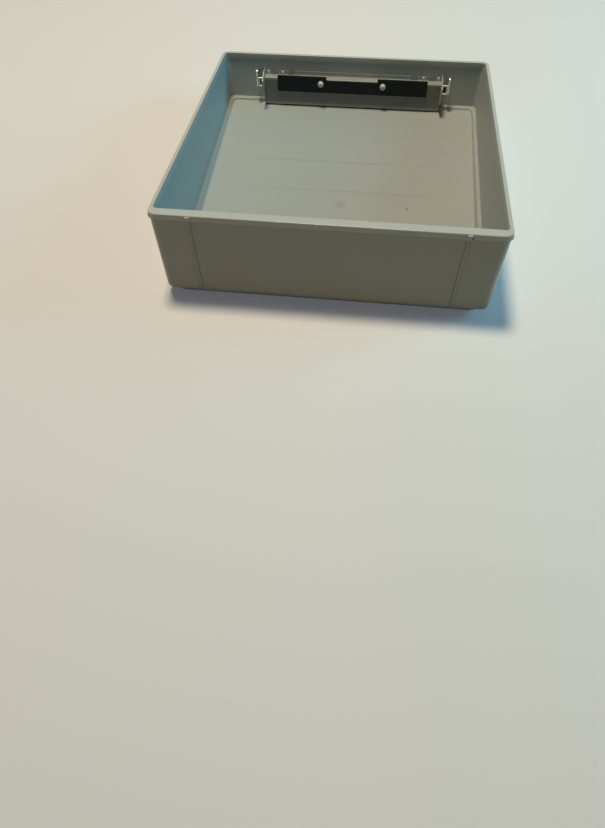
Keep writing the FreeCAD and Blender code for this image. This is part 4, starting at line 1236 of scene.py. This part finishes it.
@dataclass
class HookTongues:
    """The two tongues inside the tall wall."""

    zinc: Plating = Plating("hook_zinc", (0.52, 0.53, 0.52), (0.33, 0.33, 0.30), gloss=0.36)
    steel: Plating = Plating("hook_screw_steel", (0.60, 0.59, 0.56), (0.32, 0.30, 0.25), gloss=0.30)

    def build(self) -> None:
        """Finish the tongues and model their screws."""
        dress(self.zinc.material(), *(f"hook_tongue_{side.word}" for side in Side))
        screws = Fasteners(
            "hook_tongue_screws", "screw_steel", Drive.SLOT, slot_width=0.8 * MM, slot_depth=0.7 * MM
        )
        screws.build(through_wall(tall=True), "cover", self.steel.material())


# --- studio --------------------------------------------------------------------------------------


@dataclass(frozen=True)
class SoftLamp:
    """A round lamp aimed at a point."""

    name: str
    place: Vector
    size: float
    power: float
    colour: Colour = (1.0, 1.0, 1.0)
    target: Vector = field(default_factory=lambda: Vector((0.0, 0.0, 0.05)))

    def build(self) -> None:
        """Add the lamp."""
        lamp = bpy.data.lights.new(self.name, "AREA")
        lamp.shape = "DISK"
        lamp.size = self.size
        lamp.energy = self.power
        lamp.color = self.colour
        holder = bpy.data.objects.new(self.name, lamp)
        holder.location = self.place
        holder.rotation_euler = (self.target - self.place).to_track_quat("-Z", "Y").to_euler()
        bpy.context.scene.collection.objects.link(holder)


@dataclass
class Studio:
    """Camera, lamps, floor and world."""

    camera_place: Vector = field(default_factory=lambda: Vector((0.0368, -0.5592, 0.4418)))
    camera_turn: Triple = (31.966, 1.305, 6.842)  # degrees about X, Y and Z
    focal_pixels: float = 616.0
    frame_height: float = 828.0
    sensor_height: float = 24.0  # millimetres
    clip_start: float = 0.01
    floor_half: float = 6.0
    floor_roughness: float = 0.85
    floor_colour: Colour = (0.84, 0.82, 0.79)
    floor_bounce: Colour = (0.60, 0.54, 0.45)  # what the floor gives back to the object
    floor_glow: Colour = (0.070, 0.075, 0.090)  # added to the floor where it is seen
    dome_colour: Colour = (0.90, 0.90, 0.90)
    dome_strength: float = 0.024
    lamps: tuple[SoftLamp, ...] = (
        SoftLamp("key_light", Vector((-0.25, 0.26, 1.86)), 0.36, 23.8, (1.0, 0.89, 0.66)),
        SoftLamp("side_light", Vector((1.36, 0.30, 0.56)), 0.8, 9.2, (0.12, 0.70, 1.0)),
    )

    def build_camera(self) -> None:
        """Add the camera, with the sensor's height standing for the frame's height."""
        lens = bpy.data.cameras.new("camera")
        lens.sensor_fit = "VERTICAL"
        lens.sensor_height = self.sensor_height
        lens.lens = self.focal_pixels / self.frame_height * self.sensor_height
        lens.clip_start = self.clip_start
        holder = bpy.data.objects.new("camera", lens)
        holder.location = self.camera_place
        holder.rotation_euler = Euler([math.radians(angle) for angle in self.camera_turn])
        bpy.context.scene.collection.objects.link(holder)
        bpy.context.scene.camera = holder

    @staticmethod
    def seen_directly(tree: bpy.types.NodeTree) -> Socket:
        """Return 1 for what the camera sees, straight or by a reflection, and 0 for the rest.

        Args:
            tree: The node tree that asks.

        Returns:
            The 1 or 0.
        """
        path = tree.nodes.new("ShaderNodeLightPath")
        seen = path.outputs["Is Camera Ray"]
        for name in ("Is Glossy Ray", "Is Transmission Ray"):
            either = tree.nodes.new("ShaderNodeMath")
            either.operation = "MAXIMUM"
            tree.links.new(seen, either.inputs[0])
            tree.links.new(path.outputs[name], either.inputs[1])
            seen = either.outputs["Value"]
        return seen

    def build_floor(self) -> None:
        """Add the floor that the case lies on."""
        bpy.ops.mesh.primitive_plane_add(size=2 * self.floor_half, location=(0.0, 0.0, 0.0))
        floor = bpy.context.object
        floor.name = "floor"
        mix = Recipe("floor_paint")
        seen = self.seen_directly(mix.tree)
        colour = mix.blend(seen, self.floor_bounce, self.floor_colour)
        mix.set(Base_Color=colour, Roughness=self.floor_roughness)
        mix.set(Emission_Color=self.floor_glow, Emission_Strength=seen)
        floor.data.materials.append(mix.material)

    def build_world(self) -> None:
        """Light the scene with a weak even dome that looks pale behind the object."""
        world = bpy.data.worlds.new("dome")
        world.use_nodes = True
        tree = world.node_tree
        ground = tree.nodes["Background"]
        ground.inputs["Color"].default_value = (*self.dome_colour, 1.0)
        strength = tree.nodes.new("ShaderNodeMapRange")
        tree.links.new(self.seen_directly(tree), strength.inputs["Value"])
        strength.inputs["To Min"].default_value = self.dome_strength
        strength.inputs["To Max"].default_value = 1.0
        tree.links.new(strength.outputs["Result"], ground.inputs["Strength"])
        bpy.context.scene.world = world

    def build(self) -> None:
        """Add everything that isn't the object."""
        self.build_camera()
        self.build_floor()
        self.build_world()
        for lamp in self.lamps:
            lamp.build()
        bpy.context.scene.view_settings.view_transform = "Standard"


def main() -> None:
    """Build the scene, piece by piece."""
    logging.basicConfig(level=logging.INFO, format="%(name)s: %(message)s")
    Studio().build()
    for part in (CoverShell(), LatchBracket(), LatchBolts(), CarryingHandle(), HookTongues()):
        part.build()
        log.info("finished %s", type(part).__name__)


if __name__ == "__main__":
    main()
